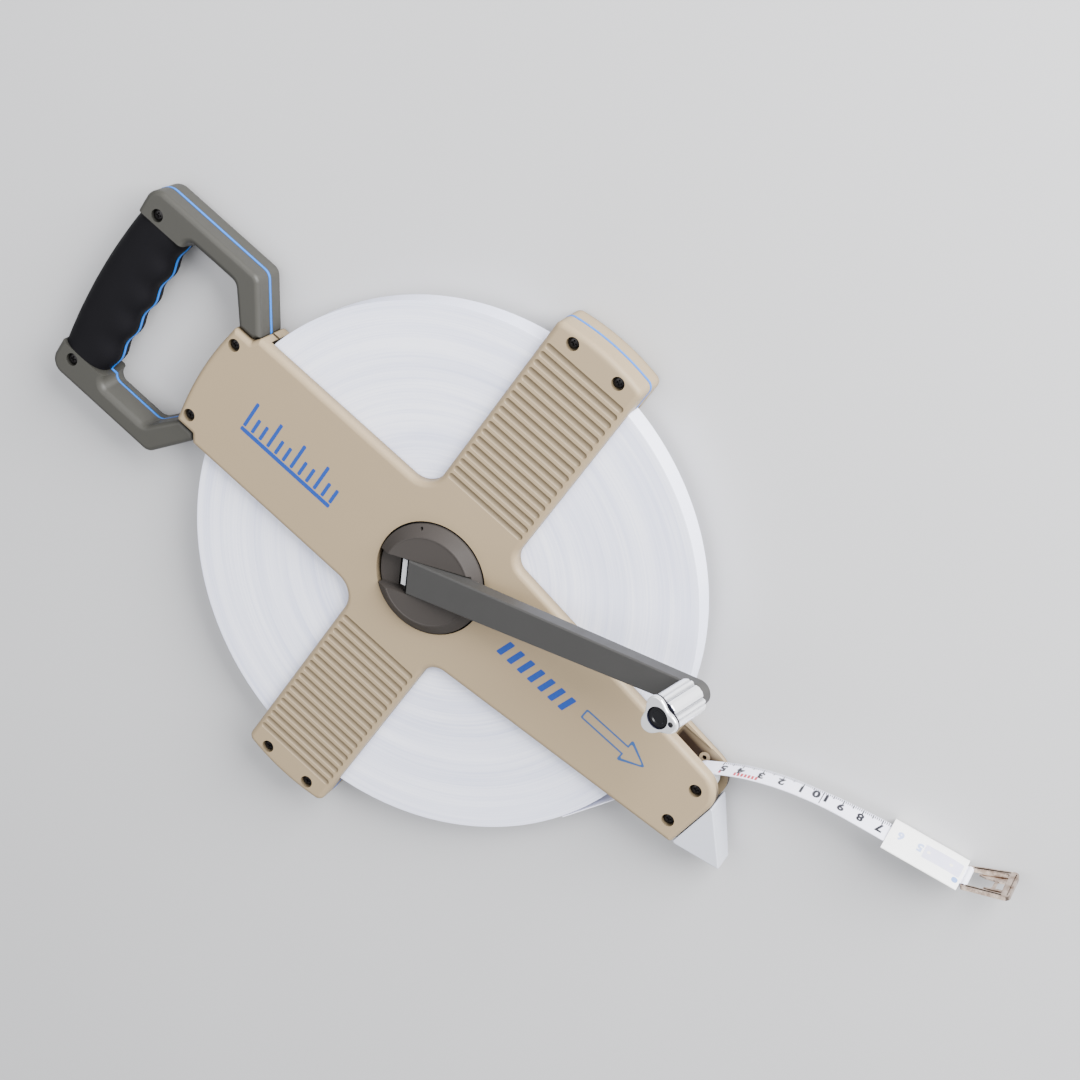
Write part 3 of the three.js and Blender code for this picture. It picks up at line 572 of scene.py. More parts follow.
CROSS = [
    (170.2, -mouth_half(170.2), 2), (174, mouth_half(174), 13.5), (HALF, mouth_half(HALF), 9),
    (HALF, 149.3, 4), (0, 153.5, 120), (-HALF, 149.3, 4), (-HALF, LONG_HALF, 12),
    (-136.5, LONG_HALF, 1.5), (-139.5, 31.6, 0.5), (-150.2, 31.6, 2), (-155, 0, 150),
    (-150.2, -31.6, 2), (-139.5, -31.6, 0.5), (-136.5, -LONG_HALF, 1.5), (-HALF, -LONG_HALF, 12),
    (-HALF, -149.3, 4), (0, -153.5, 120), (HALF, -149.3, 4), (HALF, -mouth_half(HALF), 9),
]


def merged(name, parts):
    """Several separate meshes as one object."""
    bm = bmesh.new()
    for part in parts:
        bm.from_mesh(part.data)
        mesh = part.data
        bpy.data.objects.remove(part)
        bpy.data.meshes.remove(mesh)
    mesh = bpy.data.meshes.new(name)
    bm.to_mesh(mesh)
    bm.free()
    obj = bpy.data.objects.new(name, mesh)
    bpy.context.scene.collection.objects.link(obj)
    return obj


def groove(name, y):
    """A round-bottomed groove cutter with ball ends, across a ribbed arm."""
    rows = []
    for k in range(7):
        t = math.pi / 2 * k / 6
        rows.append((-RIB_HALF + RIB_RADIUS * (1 - math.sin(t)), max(RIB_RADIUS * math.cos(t), 0.03)))
    rows = rows[::-1]
    rows = rows + [(-x, r) for x, r in rows[::-1]]
    z = DEPTH + RIB_RADIUS - RIB_DEPTH
    loops = [[(x, y + r * math.cos(2 * math.pi * j / 28), z + r * math.sin(2 * math.pi * j / 28))
              for j in range(28)] for x, r in rows]
    return loft(name, loops)


def shell(name, is_front):
    body = plate(name, CROSS, SEAM_Z, DEPTH, rounding=3.0)
    cut(body, post("t", 0, 0, CLEAR_R, 0, PLATE_Z, 256), box("t", 133.2, 190, -45, 45, 0, PLATE_Z))
    wall = plate("w", CROSS, SEAM_Z, PLATE_Z + 1)
    cut(wall, plate("t", CROSS, 0, 60, WALL))
    keep(wall, box("t", 146, 168, -40, -10, 0, 60))
    join(body, wall)
    (ux, uy), (lx, ly) = FRAME_SCREWS["mouth_upper"], FRAME_SCREWS["mouth_lower"]
    join(body, post("t", ux, uy, 3.2, SEAM_Z, 25), post("t", ux, uy, 5, PLATE_Z - 0.2, 25),
         post("t", lx, ly, 4.6, PLATE_Z - 1.6, 25))
    for s in (-1, 1):
        y0, y1 = (15.7, 40) if s > 0 else (-40, -15.7)
        cut(body, box("t", -150.3, -138.7, y0, y1, 0, MID + 6.5))
    grooves = [groove("g", s * (RIB_FIRST + RIB_PITCH * k)) for s in (-1, 1) for k in range(RIB_COUNT)]
    cut(body, merged("grooves", grooves))
    if is_front:
        sinks = [post("t", x, y, SCREW_ROOM, DEPTH - 3.4, 30, 48) for x, y in FRAME_SCREWS.values()]
        cut(body, merged("sinks", sinks), post("t", 0, 0, HUB_HOLE, 0, 30, 160))
        holes = [post("t", x, y, SCREW_HOLE, 0, 30, 16) for x, y in FRAME_SCREWS.values()]
        cut(body, merged("holes", holes))
        shade(body, 0.35)
        return body
    holes = [post("t", x, y, SCREW_HOLE, 0, DEPTH - 2.5, 16) for x, y in FRAME_SCREWS.values()]
    cut(body, merged("holes", holes))
    join(body, post("t", 0, 0, 26, PLATE_Z, 25, 96))
    cut(body, post("t", 0, 0, 20.2, DEPTH - 2.5, 30, 120), post("t", 0, 0, 10, 0, 30, 64))
    # the mouth's floor is sunk behind a rim, with a moulded boss
    cut(body, box("t", 138, 166, -2, 22.6, 0, PLATE_Z + 0.8))
    join(body, post("t", 155.5, 16.3, 2.7, PLATE_Z - 0.1, 25, 40))
    cut(body, post("t", 155.5, 16.3, 1.15, 0, PLATE_Z + 4, 28))
    mirror_depth(body)
    shade(body, 0.35)
    return body


dress(shell("front_shell", True), BEIGE.material, "frame", "frame", "front_frame")
dress(shell("rear_shell", False), BEIGE.material, "frame", "frame", "rear_frame")


# ------------------------ handle
TOP_Z = 24.0


def handle_corners(t):
    """The D handle's plan, from the seam (t = 0) to its front edge (t = 1), with leaning inner sides."""
    inner_y = 46.2 + 3.6 * t
    return [
        (-137, 35.2, 0.8), (-154.2, 60, 6), (-223.5, 60, 8), (-223.5, -60, 8), (-154.2, -60, 6),
        (-137, -35.2, 0.8), (-140, -31.95, 0), (-149.4, -31.95, 0), (-160.6 - 2.4 * t, -inner_y, 6),
        (-194 - 1.0 * t, -inner_y, 5), (-194 - 1.0 * t, inner_y, 5), (-160.6 - 2.4 * t, inner_y, 6),
        (-149.4, 31.95, 0), (-140, 31.95, 0),
    ]


def handle_half(name, is_front):
    levels = []
    rounding = 2.6
    steps = 8
    for k in range(4):
        z = SEAM_Z + (TOP_Z - rounding - SEAM_Z) * k / 3
        levels.append((z, 0.0))
    for k in range(1, steps + 1):
        a = math.pi / 2 * k / steps
        levels.append((TOP_Z - rounding + rounding * math.sin(a), rounding * (1 - math.cos(a))))
    loops = []
    for z, inward in levels:
        t = (z - SEAM_Z) / (TOP_Z - SEAM_Z)
        loops.append([(p.x, p.y, z) for p in outline(handle_corners(t), inward)])
    body = loft(name, loops)
    cut(body, box("t", -240, -190, -GRIP_END, GRIP_END, 0, 40))
    join(body, box("t", -219, -203, -44.5, 44.5, SEAM_Z, MID + 7.6))
    for s in (-1, 1):
        y0, y1 = (16, 32.5) if s > 0 else (-32.5, -16)
        join(body, box("t", -150, -139, y0, y1, SEAM_Z, MID + 6.2))
        cut(body, post("t", -145.5, s * 24, SCREW_HOLE, 0, 40, 16))
    for x, y in GRIP_SCREWS.values():
        if is_front:
            cut(body, post("t", x, y, SCREW_ROOM, TOP_Z - 3.05, 40, 48))
        cut(body, post("t", x, y, SCREW_HOLE, 0, 40 if is_front else TOP_Z - 2.5, 16))
    if not is_front:
        mirror_depth(body)
    shade(body, 0.3)
    return body


dress(handle_half("handle_front_half", True), GREY.material, "frame", "handle", "handle_front")
dress(handle_half("handle_rear_half", False), GREY.material, "frame", "handle", "handle_rear")


def grip_wave(y):
    return math.cos(2 * math.pi * (y - GRIP_PHASE) / GRIP_PITCH)


def grip_half(name):
    loops = []
    along, around = 120, 40
    for k in range(along + 1):
        y = 43.5 * (2 * k / along - 1)
        x0, x1 = GRIP_OUTER + 3.2 * (y / 44) ** 2, GRIP_INNER + 0.9 * grip_wave(y)
        loop = []
        for j in range(around + 1):
            t = math.pi * j / around
            c = math.cos(t)
            across = (x0 + x1) / 2 - (x1 - x0) / 2 * math.copysign(abs(c) ** 0.75, c)
            wave = 0.25 * max(0.0, -c) * grip_wave(y)
            loop.append((across, y, SEAM_Z + (10.9 - 0.9 + wave) * math.sin(t) ** 0.75))
        loops.append(loop)
    body = loft(name, loops)
    return cut(body, box("t", -219.15, -202.85, -60, 60, 0, MID + 7.75))


dress(shade(grip_half("grip_front_half")), RUBBER.material, "frame", "grip", "grip_front")
dress(shade(mirror_depth(grip_half("grip_rear_half"))), RUBBER.material, "frame", "grip", "grip_rear")


# ------------------------ screws
def screw_mesh(name, length):
    """A pan-head screw with a cross recess, its head's top at z = 0."""
    profile = [(0, 0)]
    for k in range(7):
        a = math.pi / 2 * k / 6
        profile.append((SCREW_HEAD * math.sin(a + 0.0001), -0.75 * (1 - math.cos(a))))
    profile += [(SCREW_HEAD, -2.0), (1.35, -2.0), (1.35, -length + 0.8), (0.4, -length), (0, -length)]
    rows = profile[::-1]
    rows = [r if r[0] > 1e-4 else (0.02, r[1]) for r in rows]
    body = loft(name, [circle(0, 0, r, z, 40) for r, z in rows])
    for turn in (20, 110):
        blade = loft("t", [
            [(-h, -w, z), (h, -w, z), (h, w, z), (-h, w, z)]
            for z, h, w in ((-1.35, 0.35, 0.28), (-1.3, 0.9, 0.36), (0.3, 1.75, 0.5))
        ])
        blade.data.transform(Matrix.Rotation(math.radians(turn), 4, "Z"))
        cut(body, blade)
    return body


for places, top, length in ((FRAME_SCREWS, 24.4, 16.7), (GRIP_SCREWS, 22.8, 13.8)):
    for place, (x, y) in places.items():
        made = screw_mesh(f"screw_head_{place}", length)
        made.data.transform(Matrix.Translation(Vector((x, y, top)) * MM))
        shade(made, 0.06)
        dress(made, STEEL.material, "frame", "screw", f"screw_{place}")


# ------------------------ ground spike
def copy_cad(name, node):
    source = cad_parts[node]
    obj = bpy.data.objects.new(name, source.data.copy())
    bpy.context.scene.collection.objects.link(obj)
    return obj


spike = copy_cad("spike_cast", "ground_spike")
shade(spike, 0.7, segments=3)
dress(spike, SPIKE.material, "frame", "spike", "ground_spike")


# ------------------------ roll, hub and rear cap
roll_profile = [(ROLL_INNER, ROLL_LOW)]
waves = [ROLL_INNER + (ROLL_R - ROLL_INNER) * k / 24 for k in range(1, 24)]
roll_profile += [(r, ROLL_LOW + 0.05 * (1 + math.sin(r * 1.7))) for r in waves]
roll_profile += [(ROLL_R - 0.35, ROLL_LOW + 0.02), (ROLL_R, ROLL_LOW + 0.25)]
roll_profile += [(ROLL_R, ROLL_HIGH - 0.25), (ROLL_R - 0.35, ROLL_HIGH - 0.02)]
roll_profile += [(r, ROLL_HIGH - 0.05 * (1 + math.sin(r * 1.3 + 1))) for r in reversed(waves)]
roll_profile += [(ROLL_INNER, ROLL_HIGH)]
roll = lathe("wound_roll", roll_profile, 256)
shade(roll)
dress(roll, ROLL.material, "reel", "tape", "tape_roll")

crank_matrix = (Matrix.Translation(Vector((0, 0, DEPTH + CRANK_HEIGHT)) * MM)
                @ Matrix.Rotation(math.radians(CRANK_TURN), 4, "Z")
                @ Matrix.Rotation(math.radians(-CRANK_RISE), 4, "Y"))
plan_matrix = Matrix.Rotation(math.radians(CRANK_TURN), 4, "Z")


def placed(obj, matrix):
    obj.data.transform(matrix)
    return obj


def solid_of_revolution(name, profile, sides=96):
    """A solid turned from a profile (radius, z) that starts and ends on the axis."""
    return loft(name, [circle(0, 0, max(r, 0.02), z, sides) for r, z in profile])


hub = solid_of_revolution("hub_disc", [
    (0, 20.1), (27.9, 20.1), (27.9, 25.4), (28.3, 25.8), (28.3, 27.0), (27.9, 27.35),
    (23.3, 31.05), (23.0, 31.4), (22.4, 31.5), (22.1, 31.3), (0, 31.3),
], 160)
SLOT = 9.15
cut(hub,
    placed(box("t", -74, -14, -SLOT, SLOT, 23.6, 37), plan_matrix),
    placed(box("t", -17.4, -10.8, -SLOT, SLOT, 21.6, 36), plan_matrix),
    placed(box("t", -16, 60, -SLOT, SLOT, -8.3, 30), crank_matrix),
    placed(box("t", 21.5, 24.5, SLOT - 0.5, SLOT + 1.6, -4, 30), crank_matrix))
cut(hub, post("t", -17.43, 19.67, 0.85, 26.0, 40, 20))
shade(hub, 0.25)
dress(hub, HUB_GREY.material, "reel", "hub", "crank_hub")

cap = solid_of_revolution("rear_cap_disc", [
    (0, 2.4), (20, 2.4), (20, 0.7), (19.3, 0.02), (16.2, 0.02), (15.8, 0.5), (15.0, 0.5), (14.6, 0.02),
    (5.2, 0.02), (4.6, 0.8), (0, 0.8),
][::-1], 120)
shade(cap, 0.15)
dress(cap, HUB_GREY.material, "frame", "hub", "rear_bearing_cap")


# ------------------------ crank
def arm_outline():
    """The arm's plan in its own frame: two tapering sides and a round end."""
    points = [(-10.0, -8.966)]
    for k in range(33):
        t = -math.pi / 2 + math.pi * k / 32
        points.append((CRANK_LENGTH + ARM_END * math.cos(t), ARM_END * math.sin(t)))
    points.append((-10.0, 8.966))
    return points


def offset_convex(points, inset):
    """Moves a convex counter-clockwise outline inwards."""
    n = len(points)
    made = []
    for i in range(n):
        p, a, b = Vector(points[i]), Vector(points[i - 1]), Vector(points[(i + 1) % n])
        u, v = (p - a).normalized(), (b - p).normalized()
        nu, nv = Vector((-u.y, u.x)), Vector((-v.y, v.x))
        half = (nu + nv).normalized()
        made.append(p + half * (inset / max(half.dot(nu), 0.2)))
    return made


arm_points = arm_outline()
arm_levels = []
EDGE = 0.9
for k in range(6):
    a = math.pi / 2 * k / 5
    arm_levels.append((-ARM_THICK + EDGE * (1 - math.sin(a)), EDGE * (1 - math.cos(a))))
arm_levels = arm_levels[::-1]
arm_levels += [(-z - ARM_THICK, inward) for z, inward in arm_levels[::-1]]
arm = loft("crank_lever", [
    [(p.x, p.y, z) for p in offset_convex(arm_points, inward)] for z, inward in arm_levels])
cut(arm, box("t", -10.6, -1.1, -5.3, 5.3, -4.9, -2.3), post("t", CRANK_LENGTH, 0, 2.7, -20, 20, 40))
placed(arm, crank_matrix)
shade(arm, 0.25)
dress(arm, ARM.material, "crank", "crank", "crank_arm")

knuckle = box("hinge_bar", -13.7, -10.9, -5.2, 8.5, -6.2, -0.9)
pin_matrix = Matrix.Translation(Vector((-12.8, 0, -3.6)) * MM) @ Matrix.Rotation(math.pi / 2, 4, "X")
cut(knuckle, placed(post("t", 0, 0, 1.45, -30, 30, 32), pin_matrix))
join(knuckle, box("t", -11.2, -2.0, -5.0, 5.0, -4.6, -2.6))
placed(knuckle, crank_matrix)
shade(knuckle, 0.5, segments=3)
dress(knuckle, CHROME.material, "crank", "chrome", "hinge_knuckle")


def knob_radius(t, fluted):
    """Three lobes, and on the grip also flutes beside each lobe and a swelling between them."""
    lobe = 0.5 + 0.5 * math.cos(3 * (t - math.radians(110)))
    if not fluted:
        return 6.7 + 3.5 * lobe
    r = 7.35 + 1.75 * lobe ** 0.8
    for turn in (110, 230, 350):
        for edge in (-32, 32):
            d = (math.degrees(t) - turn - edge + 180) % 360 - 180
            r -= 0.95 * math.exp(-(d / 5.0) ** 2)
        for edge in (-14, 14):
            d = (math.degrees(t) - turn - edge + 180) % 360 - 180
            r -= 0.60 * math.exp(-(d / 3.4) ** 2)
        d = (math.degrees(t) - turn - 60 + 180) % 360 - 180
        r += 0.75 * math.exp(-(d / 15.0) ** 4)
    return r


def knob_loops(rows, fluted, sides=288):
    """Rows of (height, distance inwards) round the knob's axis."""
    loops = []
    for z, inward in rows:
        loop = []
        for k in range(sides):
            t = 2 * math.pi * k / sides
            r = knob_radius(t, fluted) - inward
            loop.append((CRANK_LENGTH + r * math.cos(t), r * math.sin(t), z))
        loops.append(loop)
    return loops


def knob_bore():
    return post("t", CRANK_LENGTH, 0, KNOB_BORE, -5, 40, 64)


knob = loft("knob_grip", knob_loops(
    [(0.4, 0.55), (0.5, 0.35), (0.8, 0.1), (1.3, 0.0), (23.8, 0.0), (24.3, 0.06), (24.5, 0.25)], True))
cut(knob, knob_bore())
placed(knob, crank_matrix)
shade(knob)
dress(knob, CHROME.material, "knob", "chrome", "knob_body")

knob_cap = loft("knob_cap", knob_loops(
    [(25.65, 0.3), (25.75, 0.1), (25.95, 0.02), (26.2, 0.0), (26.7, 0.0), (27.1, 0.1), (27.4, 0.32),
     (27.55, 0.65), (27.6, 0.95)], False))
cut(knob_cap, knob_bore(), post("t", *STUD_AT, 1.3, 26.0, 40, 32))
placed(knob_cap, crank_matrix)
shade(knob_cap, 0.15)
dress(knob_cap, CHROME.material, "knob", "chrome", "knob_end_cap")

# a dark rubber-coloured ring filling the gap between the grip and its cap: painted shade for the shadow in
# that gap
neck = loft("knob_gap_shade", knob_loops([(24.6, 0.2), (25.6, 0.2)], False))
cut(neck, knob_bore())
placed(neck, crank_matrix)
shade(neck)
dress(neck, RUBBER.material, "knob", "drum")

axle = solid_of_revolution("knob_pin", [
    (0, -7.1), (2.4, -7.1), (2.4, 0.3), (5.0, 0.3), (5.0, 26.3), (4.7, 26.6), (3.4, 26.65), (3.0, 26.2),
    (0, 26.2),
], 64)
axle.data.transform(Matrix.Translation(Vector((CRANK_LENGTH, 0, 0)) * MM))
placed(axle, crank_matrix)
shade(axle)
dress(axle, BLACK.material, "crank", "drum", "knob_axle")

nub = solid_of_revolution("knob_stud", [(0, 26.4), (1.1, 26.4), (1.1, 27.2), (0.8, 27.5), (0, 27.6)], 32)
nub.data.transform(Matrix.Translation(Vector((*STUD_AT, 0)) * MM))
placed(nub, crank_matrix)
shade(nub)
dress(nub, BLACK.material, "knob", "drum", "knob_nub")


# ------------------------ guide roller and the strand to it
roller_profile = [
    (3.5, 6.7), (5.3, 6.7), (5.8, 6.85), (ROLLER_R, 7.3), (5.95, 9.0), (5.9, 13.0), (5.95, 17.0),
    (ROLLER_R, 18.7), (5.8, 19.15), (5.3, 19.3), (3.5, 19.3)]
roller = lathe("roller_wheel", roller_profile, 72, FRAME_SCREWS["mouth_upper"])
shade(roller)
dress(roller, WHITE.material, "roller", "roller", "guide_roller")

rx, ry = FRAME_SCREWS["mouth_upper"]
roll_line, bend_line = ROLL_R + 0.3 + TAPE_T / 2, ROLLER_R + 0.3 + TAPE_T / 2
heading = math.pi / 2 + math.atan2(ry, rx) - math.acos((roll_line + bend_line) / math.hypot(rx, ry))
leaving = math.radians(43)
start = Vector((roll_line * math.sin(heading), -roll_line * math.cos(heading)))
end = Vector((rx - bend_line * math.sin(heading), ry + bend_line * math.cos(heading)))
strand_line = []
for k in range(20):
    p = start.lerp(end, (k + 0.1) / 20)
    strand_line.append((p.x, p.y, MID, 0))
for k in range(15):
    t = heading + (leaving - heading) * k / 14
    strand_line.append((rx - bend_line * math.sin(t), ry + bend_line * math.cos(t), MID, 0))
strand_line.append((163.85, 21.87, MID, 0))
strand = tape_strip("tape_inner_strand", strand_line, TAPE_W, TAPE_T)
shade(strand)
dress(strand, TAPE.material, "frame", "tape", "tape_strand")


# ------------------------ print on the tape
scale_line = Line(tape_line, TAPE_T)


PRINT_HIGH = 0.03


def tick(s, v0, v1, width):
    corners = [(s - width / 2, v0), (s + width / 2, v0), (s + width / 2, v1), (s - width / 2, v1)]
    verts = [scale_line.at(a, b, h) for h in (-0.02, PRINT_HIGH) for a, b in corners]
    faces = [(3, 2, 1, 0), (4, 5, 6, 7), (0, 1, 5, 4), (1, 2, 6, 5), (2, 3, 7, 6), (3, 0, 4, 7)]
    return verts, faces


def gathered(name, parts):
    """Several lists of points and faces as one object."""
    verts, faces = [], []
    for v, f in parts:
        base = len(verts)
        verts += v
        faces += [tuple(base + i for i in face) for face in f]
    return new_object(name, verts, faces)


def digits(text, size, s0, v0, place=scale_line.at, height=PRINT_HIGH):
    """Numerals that read towards the mouth, their tops to the front edge."""
    curve = bpy.data.curves.new("numeral", "FONT")
    curve.body = text
    curve.size = size
    curve.align_x, curve.align_y = "CENTER", "CENTER"
    curve.extrude = 0.02
    curve.offset = 0.047 * size
    curve.resolution_u = 3
    holder = bpy.data.objects.new("numeral", curve)
    bpy.context.scene.collection.objects.link(holder)
    bpy.context.view_layer.update()
    mesh = bpy.data.meshes.new_from_object(holder.evaluated_get(bpy.context.evaluated_depsgraph_get()))
    verts = [place(s0 - v.co.x * 0.86, v0 + v.co.y, height * 0.5 + v.co.z) for v in mesh.vertices]
    faces = [tuple(p.vertices) for p in mesh.polygons]
    bpy.data.objects.remove(holder)
    bpy.data.curves.remove(curve)
    bpy.data.meshes.remove(mesh)
    return verts, faces


marks = []
for k in range(107):
    size = 3.4 if k % 10 == 0 else 2.8 if k % 5 == 0 else 1.9
    marks.append(tick(k + 0.6, -6.3, -6.3 + size, 0.62 if k % 5 == 0 else 0.46))
NUMBERS = ["5", "4", "3", "2", "1", "10", "9", "8", "7", "6", "5"]
for k, text in enumerate(NUMBERS):
    if text == "10":
        marks.append(digits("1", 8.6, 10 * k + 2.6, -1.6))
        marks.append(digits("0", 8.6, 10 * k - 2.4, -1.6))
        marks.append(tick(10 * k + 0.6, -6.3, 5.4, 0.45))
    else:
        marks.append(digits(text, 7.6, 10 * k + 0.4 if k else 1.9, -0.2))
tape_scale = gathered("tape_scale", marks)
dress(tape_scale, PRINT_BLACK.material, "frame", "tape")
red = [tick(8.6 + 1.75 * k, 2.5, 5.7, 1.15) for k in range(7)] + [tick(1.2, 3.2, 5.2, 1.2)]
tape_red = gathered("tape_red_dashes", red)
dress(tape_red, PRINT_RED.material, "frame", "tape")


# ------------------------ sleeve, loop, ring and claw
tail_matrix = (Matrix.Translation(Vector((280.2, 66.3, 11.3)) * MM)
               @ Matrix.Rotation(math.radians(14.4), 4, "Z") @ Matrix.Rotation(math.radians(12), 4, "X"))
ring_matrix = tail_matrix @ Matrix.Rotation(math.radians(25), 4, "Z")


def sleeve_swell(u):
    """How far the sleeve swells along its length, u from 0 to 1."""
    return 1.0 + 0.10 * math.sin(3.1 * u * math.pi + 0.6) - 0.12 * (2 * u - 1) ** 2


def sleeve_loops(wall):
    loops = []
    for k in range(41):
        u = k / 40
        x = -SLEEVE_START - SLEEVE_LENGTH * (1 - u)
        loop = []
        for j in range(64):
            t = 2 * math.pi * j / 64
            c, s = math.cos(t), math.sin(t)
            z = (SLEEVE_HALF - wall) * math.copysign(abs(c) ** 0.55, c)
            y = (SLEEVE_DEEP * sleeve_swell(u) - wall) * math.copysign(abs(s) ** 0.9, s)
            loop.append((x, y, z))
        loops.append(loop)
    return loops


outer, inner = sleeve_loops(0.0), sleeve_loops(0.45)
sleeve = loft("vinyl_sleeve", outer + inner[::-1], closed=False)
placed(sleeve, tail_matrix)
shade(sleeve)
dress(sleeve, CLEAR.material, "frame", "sleeve", "end_sleeve")


def on_sleeve(s, v, h):
    """A point on the sleeve's upper wall, by the tape's own length and width."""
    x = s - 125.6
    u = (x + SLEEVE_START + SLEEVE_LENGTH) / SLEEVE_LENGTH
    c = min((abs(v) / SLEEVE_HALF) ** (1 / 0.55), 1.0)
    y = SLEEVE_DEEP * sleeve_swell(u) * math.sqrt(1 - c * c) ** 0.9
    return tail_matrix @ (Vector((x, y + h, v)) * MM) / MM


def veil(name, s0, s1, v0, v1, height, steps=24, rounding=0.8):
    """A thin rounded patch that hugs the sleeve, given by the tape's length and width."""
    loops = []
    for k in range(steps + 1):
        u = k / steps
        run = s0 + (s1 - s0) * (1 - math.cos(math.pi * u)) / 2
        short = min(run - s0, s1 - run, rounding)
        trim = rounding - math.sqrt(max(rounding ** 2 - (rounding - short) ** 2, 0.0004))
        low, high = v0 + trim, v1 - trim
        top = [on_sleeve(run, low + (high - low) * j / steps, height) for j in range(steps + 1)]
        under = [on_sleeve(run, high + (low - high) * j / steps, -0.05) for j in range(steps + 1)]
        loops.append(top + under)
    return loft(name, loops)


inside_end = veil("tape_behind_sleeve", 103.0, 122.4, -4.9, 4.2, 0.04)
shade(inside_end)
dress(inside_end, VEIL.material, "frame", "sleeve")
faint = [digits(text, 7.0, s0, -1.0, on_sleeve, 0.05) for text, s0 in (("6", 90.8), ("5", 100.8))]
print_through = gathered("numbers_behind_sleeve", faint)
dress(print_through, PRINT_FAINT.material, "frame", "sleeve")
spots = merged("holes_behind_sleeve", [
    veil("t", s0 - 0.9, s0 + 0.9, -1.5, 0.3, 0.07, 8, 0.88) for s0 in (105.4, 117.0)])
dress(spots, CREAM.material, "frame", "sleeve")
stain = veil("stain_behind_sleeve", 119.6, 122.6, 4.9, 8.2, 0.05, 12, 1.4)
dress(stain, STAIN.material, "frame", "sleeve")

# the tape's end, looped round the ring's bar and closed on itself
EYE = 1.42
band = []
for k in range(29):
    t = math.radians(-150 + 300 * k / 28)
    band.append((EYE * math.cos(t), EYE * math.sin(t)))
band = [(-11.0, -0.36), (-3.6, -0.4)] + band + [(-3.6, 0.4), (-11.0, 0.36)]
outer_face, inner_face = [], []
for i, p in enumerate(band):
    a, b = Vector(band[max(i - 1, 0)]), Vector(band[min(i + 1, len(band) - 1)])
    d = (b - a).normalized()
    normal = Vector((d.y, -d.x))
    outer_face.append(Vector(p) + normal * 0.24)
    inner_face.append(Vector(p))
ribbon = outer_face + inner_face[::-1]
loop_piece = loft("tape_loop", [[(p.x, p.y, z) for p in ribbon] for z in (-6.3, 6.3)])
placed(loop_piece, tail_matrix)
shade(loop_piece)
dress(loop_piece, TAPE.material, "frame", "nickel", "tape_end_loop")
rivet = solid_of_revolution("loop_rivet", [
    (0, -0.95), (1.1, -0.95), (1.4, -0.75), (1.4, 0.75), (1.1, 0.95), (0, 0.95)], 32)
rivet_place = Matrix.Translation(Vector((-6.2, 0, -2.0)) * MM)
placed(rivet, tail_matrix @ rivet_place @ Matrix.Rotation(math.pi / 2, 4, "X"))
shade(rivet)
dress(rivet, NICKEL.material, "frame", "nickel")


def ring_plate(name, corners, depth, centre=0.0):
    """A flat plate in the ring's plane, reaching the depth to each side of the centre."""
    points = outline(corners, 0.0, 0.25)
    made = loft(name, [[(p.x, p.y, z) for p in points] for z in (-depth, depth)])
    place = Matrix.Translation(Vector((0, centre, 0)) * MM)
    return placed(made, place @ Matrix.Rotation(math.pi / 2, 4, "X"))


ring_body = ring_plate("end_ring_frame", [
    (-0.95, -7.6, 0.9), (22.6, -9.3, 2.4), (22.6, 9.3, 2.4), (-0.95, 7.6, 0.9)], 1.1)
ring_window = [(0.95, -5.9, 0.5), (18.4, -7.1, 1.0), (18.4, 7.1, 1.0), (0.95, 5.9, 0.5)]
cut(ring_body, ring_plate("t", ring_window, 3.0))
# the side rails and the end are folded: a deep furrow runs along them
for side in (-1, 1):
    rail = [(1.6, 6.35, 0.2), (18.6, 7.6, 0.3), (18.6, 8.35, 0.3), (1.6, 7.1, 0.2)]
    if side < 0:
        rail = [(x, -y, r) for x, y, r in reversed(rail)]
    cut(ring_body, ring_plate("t", rail, 1.3, 0.9))
end_furrow = [(21.0, -7.6, 0.2), (21.6, -7.6, 0.2), (21.6, 7.6, 0.2), (21.0, 7.6, 0.2)]
cut(ring_body, ring_plate("t", end_furrow, 0.4, 1.1))
placed(ring_body, ring_matrix)
shade(ring_body, 0.16)
dress(ring_body, NICKEL.material, "ring", "nickel", "end_ring")

claw = ring_plate("claw_plate", [
    (19.0, -6.2, 0.3), (19.0, 6.0, 0.3), (9.2, 5.8, 0.5), (9.4, 4.4, 0.4), (12.8, 4.0, 0.8),
    (13.2, -1.4, 0.8), (8.6, -1.9, 0.5), (4.4, -3.5, 0.5), (5.2, -4.3, 0.4), (12.0, -5.0, 0.4)], 0.4)
cut(claw, ring_plate("t", [(14.6, -1.0, 0.2), (17.9, -1.0, 0.2), (17.9, 3.9, 0.2), (14.6, 3.9, 0.2)], 2.0))
for flange in (
    [(6.4, -4.0, 0.2), (18.6, -5.2, 0.2), (18.6, -4.5, 0.2), (6.4, -3.4, 0.2)],
    [(9.8, 4.8, 0.2), (18.6, 4.8, 0.2), (18.6, 5.6, 0.2), (9.8, 5.5, 0.2)],
):
    join(claw, ring_plate("t", flange, 0.85))
placed(claw, ring_matrix)
shade(claw, 0.12)
dress(claw, NICKEL.material, "ring", "nickel", "end_claw")


# ------------------------ plain printed marks on the front shell
def mark_plate(corners, hole=None):
    """A printed mark 0.06 mm proud of the front face, which may have a hole."""
    def raised(edge, z0, z1):
        return loft("t", [[(p.x, p.y, z) for p in outline(edge, 0.0, 0.2)] for z in (z0, z1)])

    made = raised(corners, DEPTH - 0.3, DEPTH + 0.06)
    if hole:
        cut(made, raised(hole, DEPTH - 1, DEPTH + 1))
    return made


def bar(x0, x1, y0, y1, r=0.6):
    return [(x0, y0, r), (x1, y0, r), (x1, y1, r), (x0, y1, r)]


left_marks = [mark_plate(bar(-120, -61, -9.5, -7.3))]
for k in range(12):
    x = -119 + 5.18 * k
    left_marks.append(mark_plate(bar(x - 0.9, x + 0.9, -6.6, 8.5 if k % 3 == 0 else 2.0)))
dress(merged("left_scale_print", left_marks), PRINT_BLUE.material, "frame", "seam")


